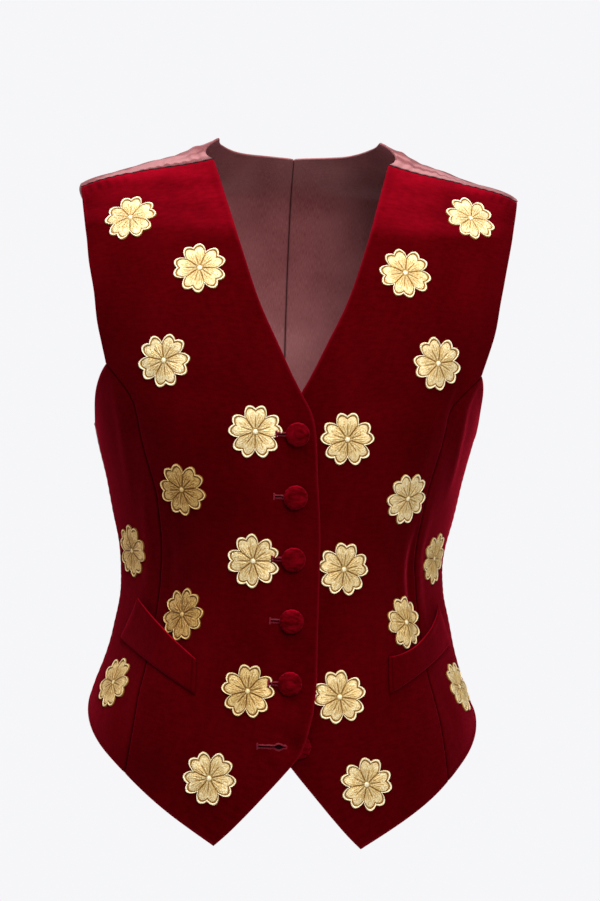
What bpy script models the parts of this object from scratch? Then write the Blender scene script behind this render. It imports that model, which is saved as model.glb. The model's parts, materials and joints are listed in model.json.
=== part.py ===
"""Women's embroidered velvet waistcoat, hollow as worn, in metres with +Z up.

The origin is the centre of the neck base, level with the tops of the shoulder seams' neck ends.
The front faces -Y, and +X is the wearer's left. The right front laps over the left one.
Every piece of cloth lies on one smooth fitted form, given by a turn round the body, from 0 at the
centre front to 180 degrees at the centre back, and a drop below the neck base. Sizes are in mm.
"""

import math

import bmesh
import bpy
import numpy as np
from mathutils import Matrix, Vector

MM = 0.001
RIGHT = -1
LEFT = 1
SIDE_NAMES = {RIGHT: "right", LEFT: "left"}

CLOTH = 2.0
SEAM_GAP = 0.3
# At the inner face: the two walls lean together at this seam, and stay 0.3 apart outside.
PRINCESS_GAP = 0.5
FLOWER_THICKNESS = 0.9
FLOWER_GAP = 0.35
FLOWER_RADIUS = 23.2
WELT_THICKNESS = 2.2
WELT_BOTTOM_STAND = 2.6
WELT_TOP_STAND = 4.8

# The fitted form: inner face of the cloth at each drop. The front of a section is a superellipse:
# a large flatness keeps its middle flat, and a small roundness turns it early towards the side.
# Columns: drop, half_width, front_depth, back_depth, flatness, roundness.
SECTIONS = (
    (-12, 52, 18, 42, 2.0, 2.0),
    (-3, 70, 25, 53, 2.0, 2.0),
    (20, 125, 40, 74, 2.0, 2.0),
    (42, 190, 57, 90, 2.0, 2.0),
    (62, 201, 74, 97, 2.1, 2.1),
    (83, 206, 90, 102, 2.3, 2.3),
    (116, 205, 106, 107, 2.6, 2.6),
    (150, 198, 116, 108, 2.9, 2.9),
    (194, 182, 124, 105, 3.0, 2.9),
    (230, 172, 128, 101, 3.0, 2.4),
    (260, 164, 130, 96, 2.8, 1.8),
    (305, 152, 128, 87, 2.6, 1.35),
    (350, 143, 125, 80, 2.45, 1.15),
    (390, 140, 124, 78, 2.4, 1.12),
    (430, 147.5, 126, 82, 2.45, 1.15),
    (480, 162, 130, 91, 2.7, 1.25),
    (530, 174, 132, 97, 3.0, 1.35),
    (615, 178, 133, 100, 2.9, 1.4),
)
# How far each side hangs wider than the form, as worn. Columns: drop, on the right, on the left.
SIDE_EASE = (
    (35, 0, 3),
    (62, 0, 1),
    (88, 0, -1),
    (115, 1.5, -2.5),
    (168, 0.5, -4),
    (200, 0, -6),
    (225, 1.5, -7.5),
    (252, 3.2, -4.5),
    (290, 4, -3),
    (325, 4.5, -2),
    (363, 2.6, -4.5),
    (389, 2.6, -2.5),
    (415, 2, -0.5),
    (456, 1, -1),
    (483, 2, 1.5),
    (500, 1.5, 3),
    (615, 0.5, 3.5),
)
EASE_FROM = 60
EASE_FULL = 135

# The edges of the front. Columns: drop, distance from the centre front.
NECK_AND_FRONT_EDGE = (
    (18, 76),
    (54, 65.5),
    (98, 52.5),
    (141, 38),
    (181, 19.5),
    (204, 8.5),
    (220, 0),
    (238, -9.5),
    (252, -13),
    (290, -16),
    (350, -20),
    (460, -20.5),
    (485, -18.5),
    (505, -14.5),
    (526, -8),
)
CUTAWAY_EDGE = ((526, -8), (533, -2), (545, 8), (560, 21), (580, 38.5), (594, 51.5), (604, 62))
FRONT_ARMHOLE = ((45, 190), (83, 185), (118, 179), (139, 175), (160, 172), (180, 167.5), (199, 163))
PRINCESS_SEAM = (
    (199, 163),
    (218, 147),
    (234, 137),
    (261, 128.5),
    (289, 119),
    (316, 111.5),
    (351, 108.5),
    (384, 109),
    (420, 113),
    (456, 120),
    (510, 129.5),
    (549, 135.5),
)
# The side seam. Columns: drop, turn in degrees.
SIDE_SEAM = ((252, 86), (300, 88), (335, 90), (385, 91), (430, 93), (488, 94))

# Rows of a centre front, from the shoulder seam to the hem: where each starts on its two edges.
# Columns: centre_drop, outer_drop, rows from the line above.
FRONT_ROWS = (
    (18, 45, 0),
    (98, 112, 3),
    (181, 180, 4),
    (204, 199, 1),
    (252, 240, 2),
    (350, 340, 4),
    (460, 440, 4),
    (526, 498, 3),
    (604, 549, 3),
)
ROWS_ABOVE_PRINCESS_SEAM = 8
# Rows of a back, below its shoulder seam and down to the underarm, in degrees and mm.
# Columns: inner_turn, inner_drop, outer_turn, outer_drop.
BACK_ROWS = (
    (90, -3, 90, 42),
    (120, 0, 109, 54),
    (150, 5, 117.5, 74),
    (180, 8, 122, 100),
    (180, 60, 123.5, 138),
    (180, 110, 121.5, 174),
    (180, 150, 117, 207),
    (180, 185, 109.5, 231),
    (180, 215, 99, 247),
    (180, 240, 86, 252),
)
UNDERARM_DROP = 252
SIDE_HEM_DROP = 488
BACK_HEM_DROP = 478
CENTRE_COLUMNS = 8
SIDE_COLUMNS = 4
BACK_COLUMNS = 7
# Steps along the form that slopes are measured over, in radians and mm.
SMALL_TURN = 0.002
SMALL_DROP = 0.2
SHOULDER_BOW = 2.0
ARMHOLE_BOW = -6.0
SIDE_HEM_BOW = -3.0
BOW_FADE_ROWS = 4

# The lap: the right front rides over the left one near the centre, and stands off further over
# the unfastened button.
LAP_STEP = 1.9
LAP_FULL = 24.0
LAP_END = 60.0
LIFT = 4.2
LIFT_DROPS = (466, 500)
LIFT_FROM_CENTRE = (48, 6)

BUTTON_RADIUS = 10.2
BUTTON_STAND = 1.5
FREE_BUTTON_STAND = 0.4
BUTTON_RISE = 4.7
# Half of a covered button from its crown to its flat back.
# Columns: share of BUTTON_RADIUS, share of BUTTON_RISE.
BUTTON_PROFILE = (
    (0, 1.0),
    (0.42, 0.96),
    (0.78, 0.76),
    (0.96, 0.5),
    (1.0, 0.3),
    (0.95, 0.06),
    (0.8, 0),
)
SHANK_RADIUS = 1.4
BUTTON_STEPS = 12
BUTTON_COUNT = 6
BUTTON_PITCH = 52.6
FIRST_BUTTON_DROP = 255.5
BUTTON_X = -2.5
FREE_BUTTON_X = 7.0
# Buttonholes: a slit from far to near of the shank, which gapes round it. The unfastened one
# falls further from the edge, because nothing pulls on it.
HOLE_FAR = 17.5
HOLE_NEAR = 5.5
FREE_HOLE_SHIFT = 8.0
BUTTONHOLE_WIDTH = 0.9
GAPE_HALF = 4.5
GAPE_RISE = 1.9
GAPE_MARGIN = 0.4
GAPE_STEPS = 6
HOLE_IN_FLOWER_WIDTH = 3.6

# Flowers. Columns: panel, distance from the centre front, drop, direction of a petal in degrees.
FLOWERS = {
    RIGHT: (
        ("centre", 147, 74, 29),
        ("centre", 87.5, 117, 38),
        ("centre", 116, 196, 62),
        ("centre", 38, 254, 19),
        ("centre", 93.5, 304, 41),
        ("side", 131, 360, 2),
        ("centre", 35.5, 363, 38),
        ("centre", 91, 412, 64),
        ("centre", 37.5, 473, 14),
        ("side", 145.5, 475, 63),
        ("centre", 67, 547, 51),
    ),
    LEFT: (
        ("centre", 146, 64, 34),
        ("centre", 88, 115, 46),
        ("centre", 121, 191, 47),
        ("centre", 40, 258, 20),
        ("centre", 95, 306, 58),
        ("side", 129, 359, 70),
        ("centre", 40.5, 368, 14),
        ("centre", 97.5, 414, 32),
        ("centre", 40, 476, 29),
        ("side", 151.5, 472, 56),
        ("centre", 65, 549, 9),
    ),
}
# One petal of the outline, from the notch beside it to its far side: two lobes and a dip.
# Columns: degrees, share of FLOWER_RADIUS.
PETAL = ((0, 0.7), (8, 0.86), (20, 1.0), (36, 0.87), (52, 1.0), (64, 0.86))
PETALS = 5
CUTTER_REACH = 14.0

# Pocket welts, outer end then inner end. Columns: distance from the centre front and drop of the
# top corner, then of the bottom one.
WELT_ENDS = {
    RIGHT: ((122, 401, 141, 437), (79, 449, 80, 478)),
    LEFT: ((127, 400, 144, 434), (81, 443, 82, 474)),
}
# How far a welt sags a third of the way in, at its top and at its bottom.
WELT_SAGS = {RIGHT: (4, 2), LEFT: (15, 4)}
SAG_SCALE = 2.6
WELT_CELLS = (8, 3)

VELVET = ((0.16, 0.004, 0.014), 0.8, 0.0)
SATIN = ((0.26, 0.045, 0.065), 0.35, 0.0)
GOLD_THREAD = ((0.74, 0.58, 0.27), 0.45, 0.2)


def clear_scene():
    for obj in list(bpy.data.objects):
        bpy.data.objects.remove(obj, do_unlink=True)


def smooth(rows, at):
    """The columns after the first of a table, at values of its first column, as smooth curves."""
    table = np.array(rows, float)
    knots = table[:, 0]
    values = table[:, 1:]
    steps = np.diff(knots)[:, None]
    rises = np.diff(values, axis=0) / steps
    slopes = np.vstack([rises[:1], rises[:-1], rises[-1:]])[: len(knots)]
    slopes[-1] = rises[-1]
    before = rises[:-1]
    after = rises[1:]
    near = 2 * steps[1:] + steps[:-1]
    far = steps[1:] + 2 * steps[:-1]
    bends = before * after > 0
    mean = (near + far) / (near / np.where(bends, before, 1) + far / np.where(bends, after, 1))
    slopes[1:-1] = np.where(bends, mean, 0)
    at = np.asarray(at, float)
    index = np.clip(np.searchsorted(knots, at, side="right") - 1, 0, len(steps) - 1)
    step = steps[index]
    t = ((at - knots[index])[..., None]) / step
    t = np.clip(t, 0, 1)
    rise = values[index + 1] - values[index]
    ease = t * t * (3 - 2 * t)
    lean_in = t * (1 - t) ** 2 * slopes[index] * step
    lean_out = t * t * (t - 1) * slopes[index + 1] * step
    return values[index] + rise * ease + lean_in + lean_out


def ramp(value, start, end):
    """0 up to start, 1 from end on, and smooth between them."""
    t = np.clip((value - start) / (end - start), 0, 1)
    return t * t * (3 - 2 * t)


def form(turn, drop):
    """Points of the fitted form on the wearer's left, at a turn in radians and a drop in mm."""
    half, front, back, flatness, roundness = np.moveaxis(smooth(SECTIONS, drop), -1, 0)
    across = np.abs(np.sin(turn))
    fullness = np.clip(1 - across**flatness, 0, 1) ** (1 / roundness)
    y = np.where(np.cos(turn) > 0, -front * fullness, -back * np.cos(turn))
    return np.stack([half * np.sin(turn), y, -drop + 0 * turn], axis=-1)


def outward(turn, drop):
    """Unit normals of the fitted form, away from the body."""
    round_body = form(turn + SMALL_TURN, drop) - form(turn - SMALL_TURN, drop)
    down_body = form(turn, drop + SMALL_DROP) - form(turn, drop - SMALL_DROP)
    normal = np.cross(down_body, round_body)
    return normal / np.linalg.norm(normal, axis=-1, keepdims=True)


def cloth(side, turn, drop, out=0.0):
    """Points on a front or back of one side, moved out from its inner face, with its lap."""
    turn = np.asarray(turn, float)
    drop = np.asarray(drop, float)
    points = form(turn, drop) + outward(turn, drop) * np.asarray(out, float)[..., None]
    x = points[..., 0]
    in_front = np.cos(turn) > 0
    lap = side * LAP_STEP * ramp(x, LAP_END, LAP_FULL)
    if side == RIGHT:
        lap = lap - LIFT * ramp(drop, *LIFT_DROPS) * ramp(x, *LIFT_FROM_CENTRE)
    points[..., 1] += np.where(in_front, lap, 0)
    ease = smooth(SIDE_EASE, drop)[..., 0 if side == RIGHT else 1]
    points[..., 0] = side * (x + ease * ramp(x, EASE_FROM, EASE_FULL))
    return points


def turn_at(from_centre, drop):
    """The turn, in front of the side, where the form is this far from the centre front."""
    half = smooth(SECTIONS, drop)[..., 0]
    return np.arcsin(np.clip(np.asarray(from_centre, float) / half, -1, 1))


def edge_turn(edge, drop):
    drop = np.asarray(drop, float)
    return turn_at(smooth(edge, drop)[..., 0], drop)


def row_drops():
    """The drops of the rows of a centre front at its centre edge and at its outer edge."""
    count = np.cumsum([row[2] for row in FRONT_ROWS])
    rows = np.arange(count[-1] + 1)
    centre = np.interp(rows, count, [row[0] for row in FRONT_ROWS])
    outer = np.interp(rows, count, [row[1] for row in FRONT_ROWS])
    return centre, outer


def seam_inset(turn, drop, way, gap=SEAM_GAP):
    """Moves an edge back from its seam by half of the gap, along the section."""
    chord = form(turn + SMALL_TURN, drop) - form(turn - SMALL_TURN, drop)
    radius = np.linalg.norm(chord, axis=-1) / (2 * SMALL_TURN)
    return turn + way * gap / 2 / radius


def ruled(inner, outer, columns, bows):
    """A grid of turns and drops between two edges, each row bowed by its own amount."""
    share = np.linspace(0, 1, columns + 1)
    inner_turn, inner_drop = inner
    outer_turn, outer_drop = outer
    turn = inner_turn[:, None] + (outer_turn - inner_turn)[:, None] * share
    drop = inner_drop[:, None] + (outer_drop - inner_drop)[:, None] * share
    return turn, drop + bows[:, None] * 4 * share * (1 - share)


def fading_bow(rows, first, last):
    fade = np.arange(rows) / BOW_FADE_ROWS
    return first * np.clip(1 - fade, 0, 1) + last * np.clip(1 - fade[::-1], 0, 1)


def front_centre_grid():
    centre_drop, outer_drop = row_drops()
    above_cutaway = centre_drop <= CUTAWAY_EDGE[0][0]
    centre_turn = np.where(
        above_cutaway,
        edge_turn(NECK_AND_FRONT_EDGE, centre_drop),
        edge_turn(CUTAWAY_EDGE, centre_drop),
    )
    armhole = outer_drop <= PRINCESS_SEAM[0][0]
    outer_turn = np.where(
        armhole, edge_turn(FRONT_ARMHOLE, outer_drop), edge_turn(PRINCESS_SEAM, outer_drop)
    )
    outer_turn = seam_inset(outer_turn, outer_drop, -1, PRINCESS_GAP)
    centre_drop[0] += SEAM_GAP / 2
    outer_drop[0] += SEAM_GAP / 2
    bows = fading_bow(len(centre_drop), SHOULDER_BOW, 0)
    return ruled((centre_turn, centre_drop), (outer_turn, outer_drop), CENTRE_COLUMNS, bows)


def side_seam(rows):
    drop = np.linspace(UNDERARM_DROP, SIDE_HEM_DROP, rows)
    return np.radians(smooth(SIDE_SEAM, drop)[..., 0]), drop


def front_side_grid():
    drop = row_drops()[1][ROWS_ABOVE_PRINCESS_SEAM:]
    princess = seam_inset(edge_turn(PRINCESS_SEAM, drop), drop, 1, PRINCESS_GAP)
    side_turn, side_drop = side_seam(len(drop))
    side_turn = seam_inset(side_turn, side_drop, -1)
    bows = fading_bow(len(drop), ARMHOLE_BOW, SIDE_HEM_BOW)
    return ruled((princess, drop), (side_turn, side_drop), SIDE_COLUMNS, bows)


def back_grid():
    centre_drop, outer_drop = row_drops()
    side_turn, side_drop = side_seam(len(centre_drop) - ROWS_ABOVE_PRINCESS_SEAM)
    yoke = np.array(BACK_ROWS, float)
    seam_ends = (
        edge_turn(NECK_AND_FRONT_EDGE, centre_drop[:1]),
        edge_turn(FRONT_ARMHOLE, outer_drop[:1]),
    )
    rows_below = len(side_drop) - 1
    inner_turn = np.concatenate([seam_ends[0], np.radians(yoke[:, 0]), np.full(rows_below, math.pi)])
    inner_drop = np.concatenate(
        [
            centre_drop[:1] - SEAM_GAP / 2,
            yoke[:, 1],
            np.linspace(yoke[-1, 1], BACK_HEM_DROP, rows_below + 1)[1:],
        ]
    )
    outer_turn = np.concatenate([seam_ends[1], np.radians(yoke[:, 2]), side_turn[1:]])
    outer_drop = np.concatenate([outer_drop[:1] - SEAM_GAP / 2, yoke[:, 3], side_drop[1:]])
    at_centre_back = inner_turn > math.pi - SMALL_TURN
    inner_turn = np.where(at_centre_back, seam_inset(inner_turn, inner_drop, -1), inner_turn)
    on_side_seam = outer_drop >= UNDERARM_DROP
    outer_turn = np.where(on_side_seam, seam_inset(outer_turn, outer_drop, 1), outer_turn)
    bows = fading_bow(len(inner_drop), SHOULDER_BOW, 0)
    bows[1:] = 0
    return ruled((inner_turn, inner_drop), (outer_turn, outer_drop), BACK_COLUMNS, bows)


def grid_object(name, points, collection):
    """An open sheet: a grid primitive with its points set, facing outward."""
    rows, columns = points.shape[:2]
    bm = bmesh.new()
    bmesh.ops.create_grid(bm, x_segments=columns - 1, y_segments=rows - 1, size=1)
    bm.verts.ensure_lookup_table()
    for vert, point in zip(bm.verts, points.reshape(-1, 3)):
        vert.co = Vector(point) * MM
    middle = Vector(points[rows // 2, columns // 2]) * MM
    face = min(bm.faces, key=lambda item: (item.calc_center_median() - middle).length)
    bm.normal_update()
    if face.normal.dot((middle.x, middle.y, 0)) < 0:
        bmesh.ops.reverse_faces(bm, faces=bm.faces)
    # Flat triangles keep what is cut from a raised copy exactly parallel to the sheet.
    bmesh.ops.triangulate(bm, faces=bm.faces)
    bm.normal_update()
    mesh = bpy.data.meshes.new(name)
    bm.to_mesh(mesh)
    bm.free()
    obj = bpy.data.objects.new(name, mesh)
    collection.objects.link(obj)
    return obj


def thicken(obj, thickness):
    wall = obj.modifiers.new("wall", "SOLIDIFY")
    wall.thickness = thickness * MM
    wall.offset = 1
    wall.use_even_offset = True


def finish(obj, look):
    color, roughness, metallic = look
    material = bpy.data.materials.new(obj.name)
    material.use_nodes = True
    shader = material.node_tree.nodes["Principled BSDF"]
    shader.inputs["Base Color"].default_value = (*color, 1)
    shader.inputs["Roughness"].default_value = roughness
    shader.inputs["Metallic"].default_value = metallic
    obj.data.materials.append(material)


def raised(obj, name, height, collection):
    """A copy of a sheet, moved out along its own normals."""
    copy = bpy.data.objects.new(name, obj.data.copy())
    copy.data.materials.clear()
    normals = [vert.normal.copy() for vert in obj.data.vertices]
    for vert, normal in zip(copy.data.vertices, normals):
        vert.co += normal * height * MM
    collection.objects.link(copy)
    return copy


def prism(name, outline, place, collection):
    """A cutter: an outline in the XY plane of a place, extruded both ways along its Z."""
    bm = bmesh.new()
    circle = bmesh.ops.create_circle(bm, cap_ends=True, radius=1, segments=len(outline))
    for vert, (x, y) in zip(circle["verts"], outline):
        vert.co = Vector((x, y, -CUTTER_REACH)) * MM
    bm.normal_update()
    top = bmesh.ops.extrude_face_region(bm, geom=list(bm.faces))
    for item in top["geom"]:
        if isinstance(item, bmesh.types.BMVert):
            item.co.z = CUTTER_REACH * MM
    bmesh.ops.recalc_face_normals(bm, faces=bm.faces)
    mesh = bpy.data.meshes.new(name)
    bm.to_mesh(mesh)
    bm.free()
    obj = bpy.data.objects.new(name, mesh)
    obj.matrix_world = place
    obj.hide_render = True
    obj.display_type = "WIRE"
    collection.objects.link(obj)
    return obj


def combine(obj, operation, cutter):
    cut = obj.modifiers.new(cutter.name, "BOOLEAN")
    cut.operation = operation
    cut.object = cutter


def place_on(side, from_centre, drop, out):
    """A place on the cloth: Z away from it and Y up along it."""
    turn = turn_at(from_centre, drop)
    point = Vector(cloth(side, turn, drop, out)) * MM
    normal = Vector(outward(turn, drop))
    normal.x *= side
    across = Vector((0, 0, 1)).cross(normal).normalized()
    up = normal.cross(across)
    place = Matrix((across, up, normal)).transposed().to_4x4()
    place.translation = point
    return place


def flower_outline(spin):
    outline = []
    for petal in range(PETALS):
        for degrees, share in PETAL:
            angle = math.radians(spin - 36 + degrees + petal * 360 / PETALS)
            radius = FLOWER_RADIUS * share
            outline.append((radius * math.cos(angle), radius * math.sin(angle)))
    return outline


def buttonhole_outline(width):
    """A slit that gapes round the shank, which is at the origin."""
    slit = width / 2
    rise = max(GAPE_RISE, slit + GAPE_MARGIN) - slit
    top = [(-HOLE_FAR, slit)]
    for step in range(GAPE_STEPS + 1):
        share = 2 * step / GAPE_STEPS - 1
        top.append((GAPE_HALF * share, slit + rise * math.cos(share * math.pi / 2) ** 2))
    top.append((HOLE_NEAR, slit))
    return top + [(x, -y) for x, y in reversed(top)]


def button_profile(stand, foot):
    """Half of a covered button and its shank, from its crown down to the foot of the shank."""
    crown = [(r * BUTTON_RADIUS, stand + h * BUTTON_RISE) for r, h in BUTTON_PROFILE]
    return crown + [(SHANK_RADIUS, stand), (SHANK_RADIUS, foot), (0, foot)]


def make_button(number, x, side, stand, foot, collection):
    drop = FIRST_BUTTON_DROP + (number - 1) * BUTTON_PITCH
    profile = button_profile(stand, foot)
    mesh = bpy.data.meshes.new(f"button_{number}")
    edges = [(i, i + 1) for i in range(len(profile) - 1)]
    mesh.from_pydata([(r * MM, 0, h * MM) for r, h in profile], edges, [])
    obj = bpy.data.objects.new(f"button_{number}", mesh)
    obj.matrix_world = place_on(side, x * side, drop, CLOTH)
    collection.objects.link(obj)
    screw = obj.modifiers.new("turned", "SCREW")
    screw.steps = BUTTON_STEPS
    screw.render_steps = BUTTON_STEPS
    screw.use_merge_vertices = True
    screw.merge_threshold = 0.00005
    finish(obj, VELVET)
    return obj


def make_buttons(collection):
    to_under_front = SEAM_GAP - 2 * LAP_STEP
    for number in range(1, BUTTON_COUNT):
        make_button(number, BUTTON_X, RIGHT, BUTTON_STAND, to_under_front, collection)
    make_button(BUTTON_COUNT, FREE_BUTTON_X, LEFT, FREE_BUTTON_STAND, SEAM_GAP, collection)


def make_buttonhole_cutters(width, kind, cutters):
    made = []
    for number in range(1, BUTTON_COUNT + 1):
        drop = FIRST_BUTTON_DROP + (number - 1) * BUTTON_PITCH
        shift = FREE_HOLE_SHIFT if number == BUTTON_COUNT else 0
        place = place_on(RIGHT, shift - BUTTON_X, drop, CLOTH)
        made.append(prism(f"{kind}_{number}", buttonhole_outline(width), place, cutters))
    return made


def make_panels(collection):
    panels = {}
    for side, side_name in SIDE_NAMES.items():
        for kind, grid, look in (
            ("front_centre", front_centre_grid(), VELVET),
            ("front_side", front_side_grid(), VELVET),
            ("back", back_grid(), SATIN),
        ):
            panel = grid_object(f"{kind}_{side_name}", cloth(side, *grid), collection)
            thicken(panel, CLOTH)
            finish(panel, look)
            panels[kind, side] = panel
    return panels


def sag_shape(share):
    """0 at both ends of a welt and 1 a third of the way in from its outer end."""
    return np.sqrt(share) * (1 - share) * SAG_SCALE


def make_welts(collection):
    across = np.linspace(0, 1, WELT_CELLS[0] + 1)
    up = np.linspace(0, 1, WELT_CELLS[1] + 1)[:, None]
    out = WELT_BOTTOM_STAND + (WELT_TOP_STAND - WELT_BOTTOM_STAND) * up + 0 * across
    for side, side_name in SIDE_NAMES.items():
        top_x, top_drop, bottom_x, bottom_drop = (
            outer + (inner - outer) * across for outer, inner in zip(*WELT_ENDS[side])
        )
        top_sag, bottom_sag = WELT_SAGS[side]
        top_drop = top_drop + top_sag * sag_shape(across)
        bottom_drop = bottom_drop + bottom_sag * sag_shape(across)
        x = bottom_x + (top_x - bottom_x) * up
        drop = bottom_drop + (top_drop - bottom_drop) * up
        points = cloth(side, turn_at(x, drop), drop, out)
        welt = grid_object(f"welt_{side_name}", points, collection)
        thicken(welt, WELT_THICKNESS)
        finish(welt, VELVET)


def make_flowers(panels, holes, collection, cutters):
    hole_drops = [FIRST_BUTTON_DROP + number * BUTTON_PITCH for number in range(BUTTON_COUNT)]
    for side, side_name in SIDE_NAMES.items():
        for number, (panel, from_centre, drop, spin) in enumerate(FLOWERS[side], start=1):
            name = f"flower_{side_name}_{number:02d}"
            ground = panels[f"front_{panel}", side]
            flower = raised(ground, name, CLOTH + FLOWER_GAP, collection)
            thicken(flower, FLOWER_THICKNESS)
            place = place_on(side, from_centre, drop, CLOTH)
            cutter = prism(f"{name}_outline", flower_outline(spin), place, cutters)
            combine(flower, "INTERSECT", cutter)
            for hole, hole_drop in zip(holes, hole_drops):
                near_edge = from_centre - FLOWER_RADIUS < HOLE_FAR - BUTTON_X
                if side == RIGHT and near_edge and abs(drop - hole_drop) < FLOWER_RADIUS / 2:
                    combine(flower, "DIFFERENCE", hole)
            finish(flower, GOLD_THREAD)


def main():
    clear_scene()
    collection = bpy.data.collections.new("embroidered_waistcoat")
    cutters = bpy.data.collections.new("cutters")
    bpy.context.scene.collection.children.link(collection)
    bpy.context.scene.collection.children.link(cutters)
    panels = make_panels(collection)
    for hole in make_buttonhole_cutters(BUTTONHOLE_WIDTH, "buttonhole", cutters):
        combine(panels["front_centre", RIGHT], "DIFFERENCE", hole)
    make_welts(collection)
    make_buttons(collection)
    flower_holes = make_buttonhole_cutters(HOLE_IN_FLOWER_WIDTH, "hole_in_flower", cutters)
    make_flowers(panels, flower_holes, collection, cutters)


main()
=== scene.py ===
import json
import math

import bmesh
import bpy
import numpy as np
from mathutils import Matrix, Vector

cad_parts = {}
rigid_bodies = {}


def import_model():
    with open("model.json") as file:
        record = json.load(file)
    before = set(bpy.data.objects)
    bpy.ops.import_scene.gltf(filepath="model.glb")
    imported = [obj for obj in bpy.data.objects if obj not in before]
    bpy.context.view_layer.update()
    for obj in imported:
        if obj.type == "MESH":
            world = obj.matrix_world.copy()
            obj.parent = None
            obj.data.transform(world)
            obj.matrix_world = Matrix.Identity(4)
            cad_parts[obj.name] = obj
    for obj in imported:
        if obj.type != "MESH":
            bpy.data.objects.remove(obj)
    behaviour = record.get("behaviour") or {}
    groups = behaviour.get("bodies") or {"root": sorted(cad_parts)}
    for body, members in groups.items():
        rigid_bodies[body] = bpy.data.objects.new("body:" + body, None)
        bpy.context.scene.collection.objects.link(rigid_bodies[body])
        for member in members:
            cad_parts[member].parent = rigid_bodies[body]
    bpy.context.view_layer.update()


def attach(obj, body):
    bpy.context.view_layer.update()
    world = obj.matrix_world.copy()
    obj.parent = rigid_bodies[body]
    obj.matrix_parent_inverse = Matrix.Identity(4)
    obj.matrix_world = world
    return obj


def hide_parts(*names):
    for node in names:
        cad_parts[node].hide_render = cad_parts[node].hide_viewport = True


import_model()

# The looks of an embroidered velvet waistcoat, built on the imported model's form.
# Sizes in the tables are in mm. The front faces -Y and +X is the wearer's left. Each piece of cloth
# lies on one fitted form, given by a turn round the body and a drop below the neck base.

MM = 0.001
RIGHT = -1
LEFT = 1
SIDE_NAMES = {RIGHT: "right", LEFT: "left"}
BODY = "root"

# ---- the fitted form, as packed
# The cloth's thickness.
CLOTH = 2.0
# Columns: drop, half_width, front_depth, back_depth, flatness, roundness.
SECTIONS = (
    (-12, 52, 18, 42, 2.0, 2.0),
    (-3, 70, 25, 53, 2.0, 2.0),
    (20, 125, 40, 74, 2.0, 2.0),
    (42, 190, 57, 90, 2.0, 2.0),
    (62, 201, 74, 97, 2.1, 2.1),
    (83, 206, 90, 102, 2.3, 2.3),
    (116, 205, 106, 107, 2.6, 2.6),
    (150, 198, 116, 108, 2.9, 2.9),
    (194, 182, 124, 105, 3.0, 2.9),
    (230, 172, 128, 101, 3.0, 2.4),
    (260, 164, 130, 96, 2.8, 1.8),
    (305, 152, 128, 87, 2.6, 1.35),
    (350, 143, 125, 80, 2.45, 1.15),
    (390, 140, 124, 78, 2.4, 1.12),
    (430, 147.5, 126, 82, 2.45, 1.15),
    (480, 162, 130, 91, 2.7, 1.25),
    (530, 174, 132, 97, 3.0, 1.35),
    (615, 178, 133, 100, 2.9, 1.4),
)
# How far each side hangs wider than the form, as worn. Columns: drop, on the right, on the left.
SIDE_EASE = (
    (35, 0, 3), (62, 0, 1), (88, 0, -1), (115, 1.5, -2.5), (168, 0.5, -4), (200, 0, -6),
    (225, 1.5, -7.5), (252, 3.2, -4.5), (290, 4, -3), (325, 4.5, -2), (363, 2.6, -4.5),
    (389, 2.6, -2.5), (415, 2, -0.5), (456, 1, -1), (483, 2, 1.5), (500, 1.5, 3), (615, 0.5, 3.5),
)
# The ease starts and is full at these distances from the centre.
EASE_FROM = 60
EASE_FULL = 135
# Edges of the front. Columns: drop, distance from the centre front.
NECK_AND_FRONT_EDGE = (
    (18, 76), (54, 65.5), (98, 52.5), (141, 38), (181, 19.5), (204, 8.5), (220, 0), (238, -9.5),
    (252, -13), (290, -16), (350, -20), (460, -20.5), (485, -18.5), (505, -14.5), (526, -8),
)
CUTAWAY_EDGE = ((526, -8), (533, -2), (545, 8), (560, 21), (580, 38.5), (594, 51.5), (604, 62))
FRONT_ARMHOLE = ((45, 190), (83, 185), (118, 179), (139, 175), (160, 172), (180, 167.5), (199, 163))
PRINCESS_SEAM = (
    (199, 163), (218, 147), (234, 137), (261, 128.5), (289, 119), (316, 111.5), (351, 108.5),
    (384, 109), (420, 113), (456, 120), (510, 129.5), (549, 135.5),
)
# Columns: drop, turn in degrees.
SIDE_SEAM = ((252, 86), (300, 88), (335, 90), (385, 91), (430, 93), (488, 94))
# Columns: centre_drop, outer_drop, rows from the line above.
FRONT_ROWS = (
    (18, 45, 0), (98, 112, 3), (181, 180, 4), (204, 199, 1), (252, 240, 2), (350, 340, 4),
    (460, 440, 4), (526, 498, 3), (604, 549, 3),
)
ROWS_ABOVE_PRINCESS_SEAM = 8
LAST_ROW = 24
# Columns: inner_turn, inner_drop, outer_turn, outer_drop.
BACK_ROWS = (
    (90, -3, 90, 42),
    (120, 0, 109, 54),
    (150, 5, 117.5, 74),
    (180, 8, 122, 100),
    (180, 60, 123.5, 138),
    (180, 110, 121.5, 174),
    (180, 150, 117, 207),
    (180, 185, 109.5, 231),
    (180, 215, 99, 247),
    (180, 240, 86, 252),
)
# BACK_ROWS ends at the underarm.
UNDERARM_DROP = 252
SIDE_HEM_DROP = 488
BACK_HEM_DROP = 478
# How far down these edges bow halfway along, fading over this many rows.
SHOULDER_BOW = 2.0
ARMHOLE_BOW = -6.0
SIDE_HEM_BOW = -3.0
BOW_FADE_ROWS = 4
# The right front laps over the left one: each steps out or in by this much near the centre front.
LAP_STEP = 1.9
LAP_FULL = 24.0
LAP_END = 60.0
# The free lower corner of the over front stands off by this much more.
LIFT = 4.2
LIFT_DROPS = (466, 500)
LIFT_FROM_CENTRE = (48, 6)
SMALL_TURN = 0.002
SMALL_DROP = 0.2

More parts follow.
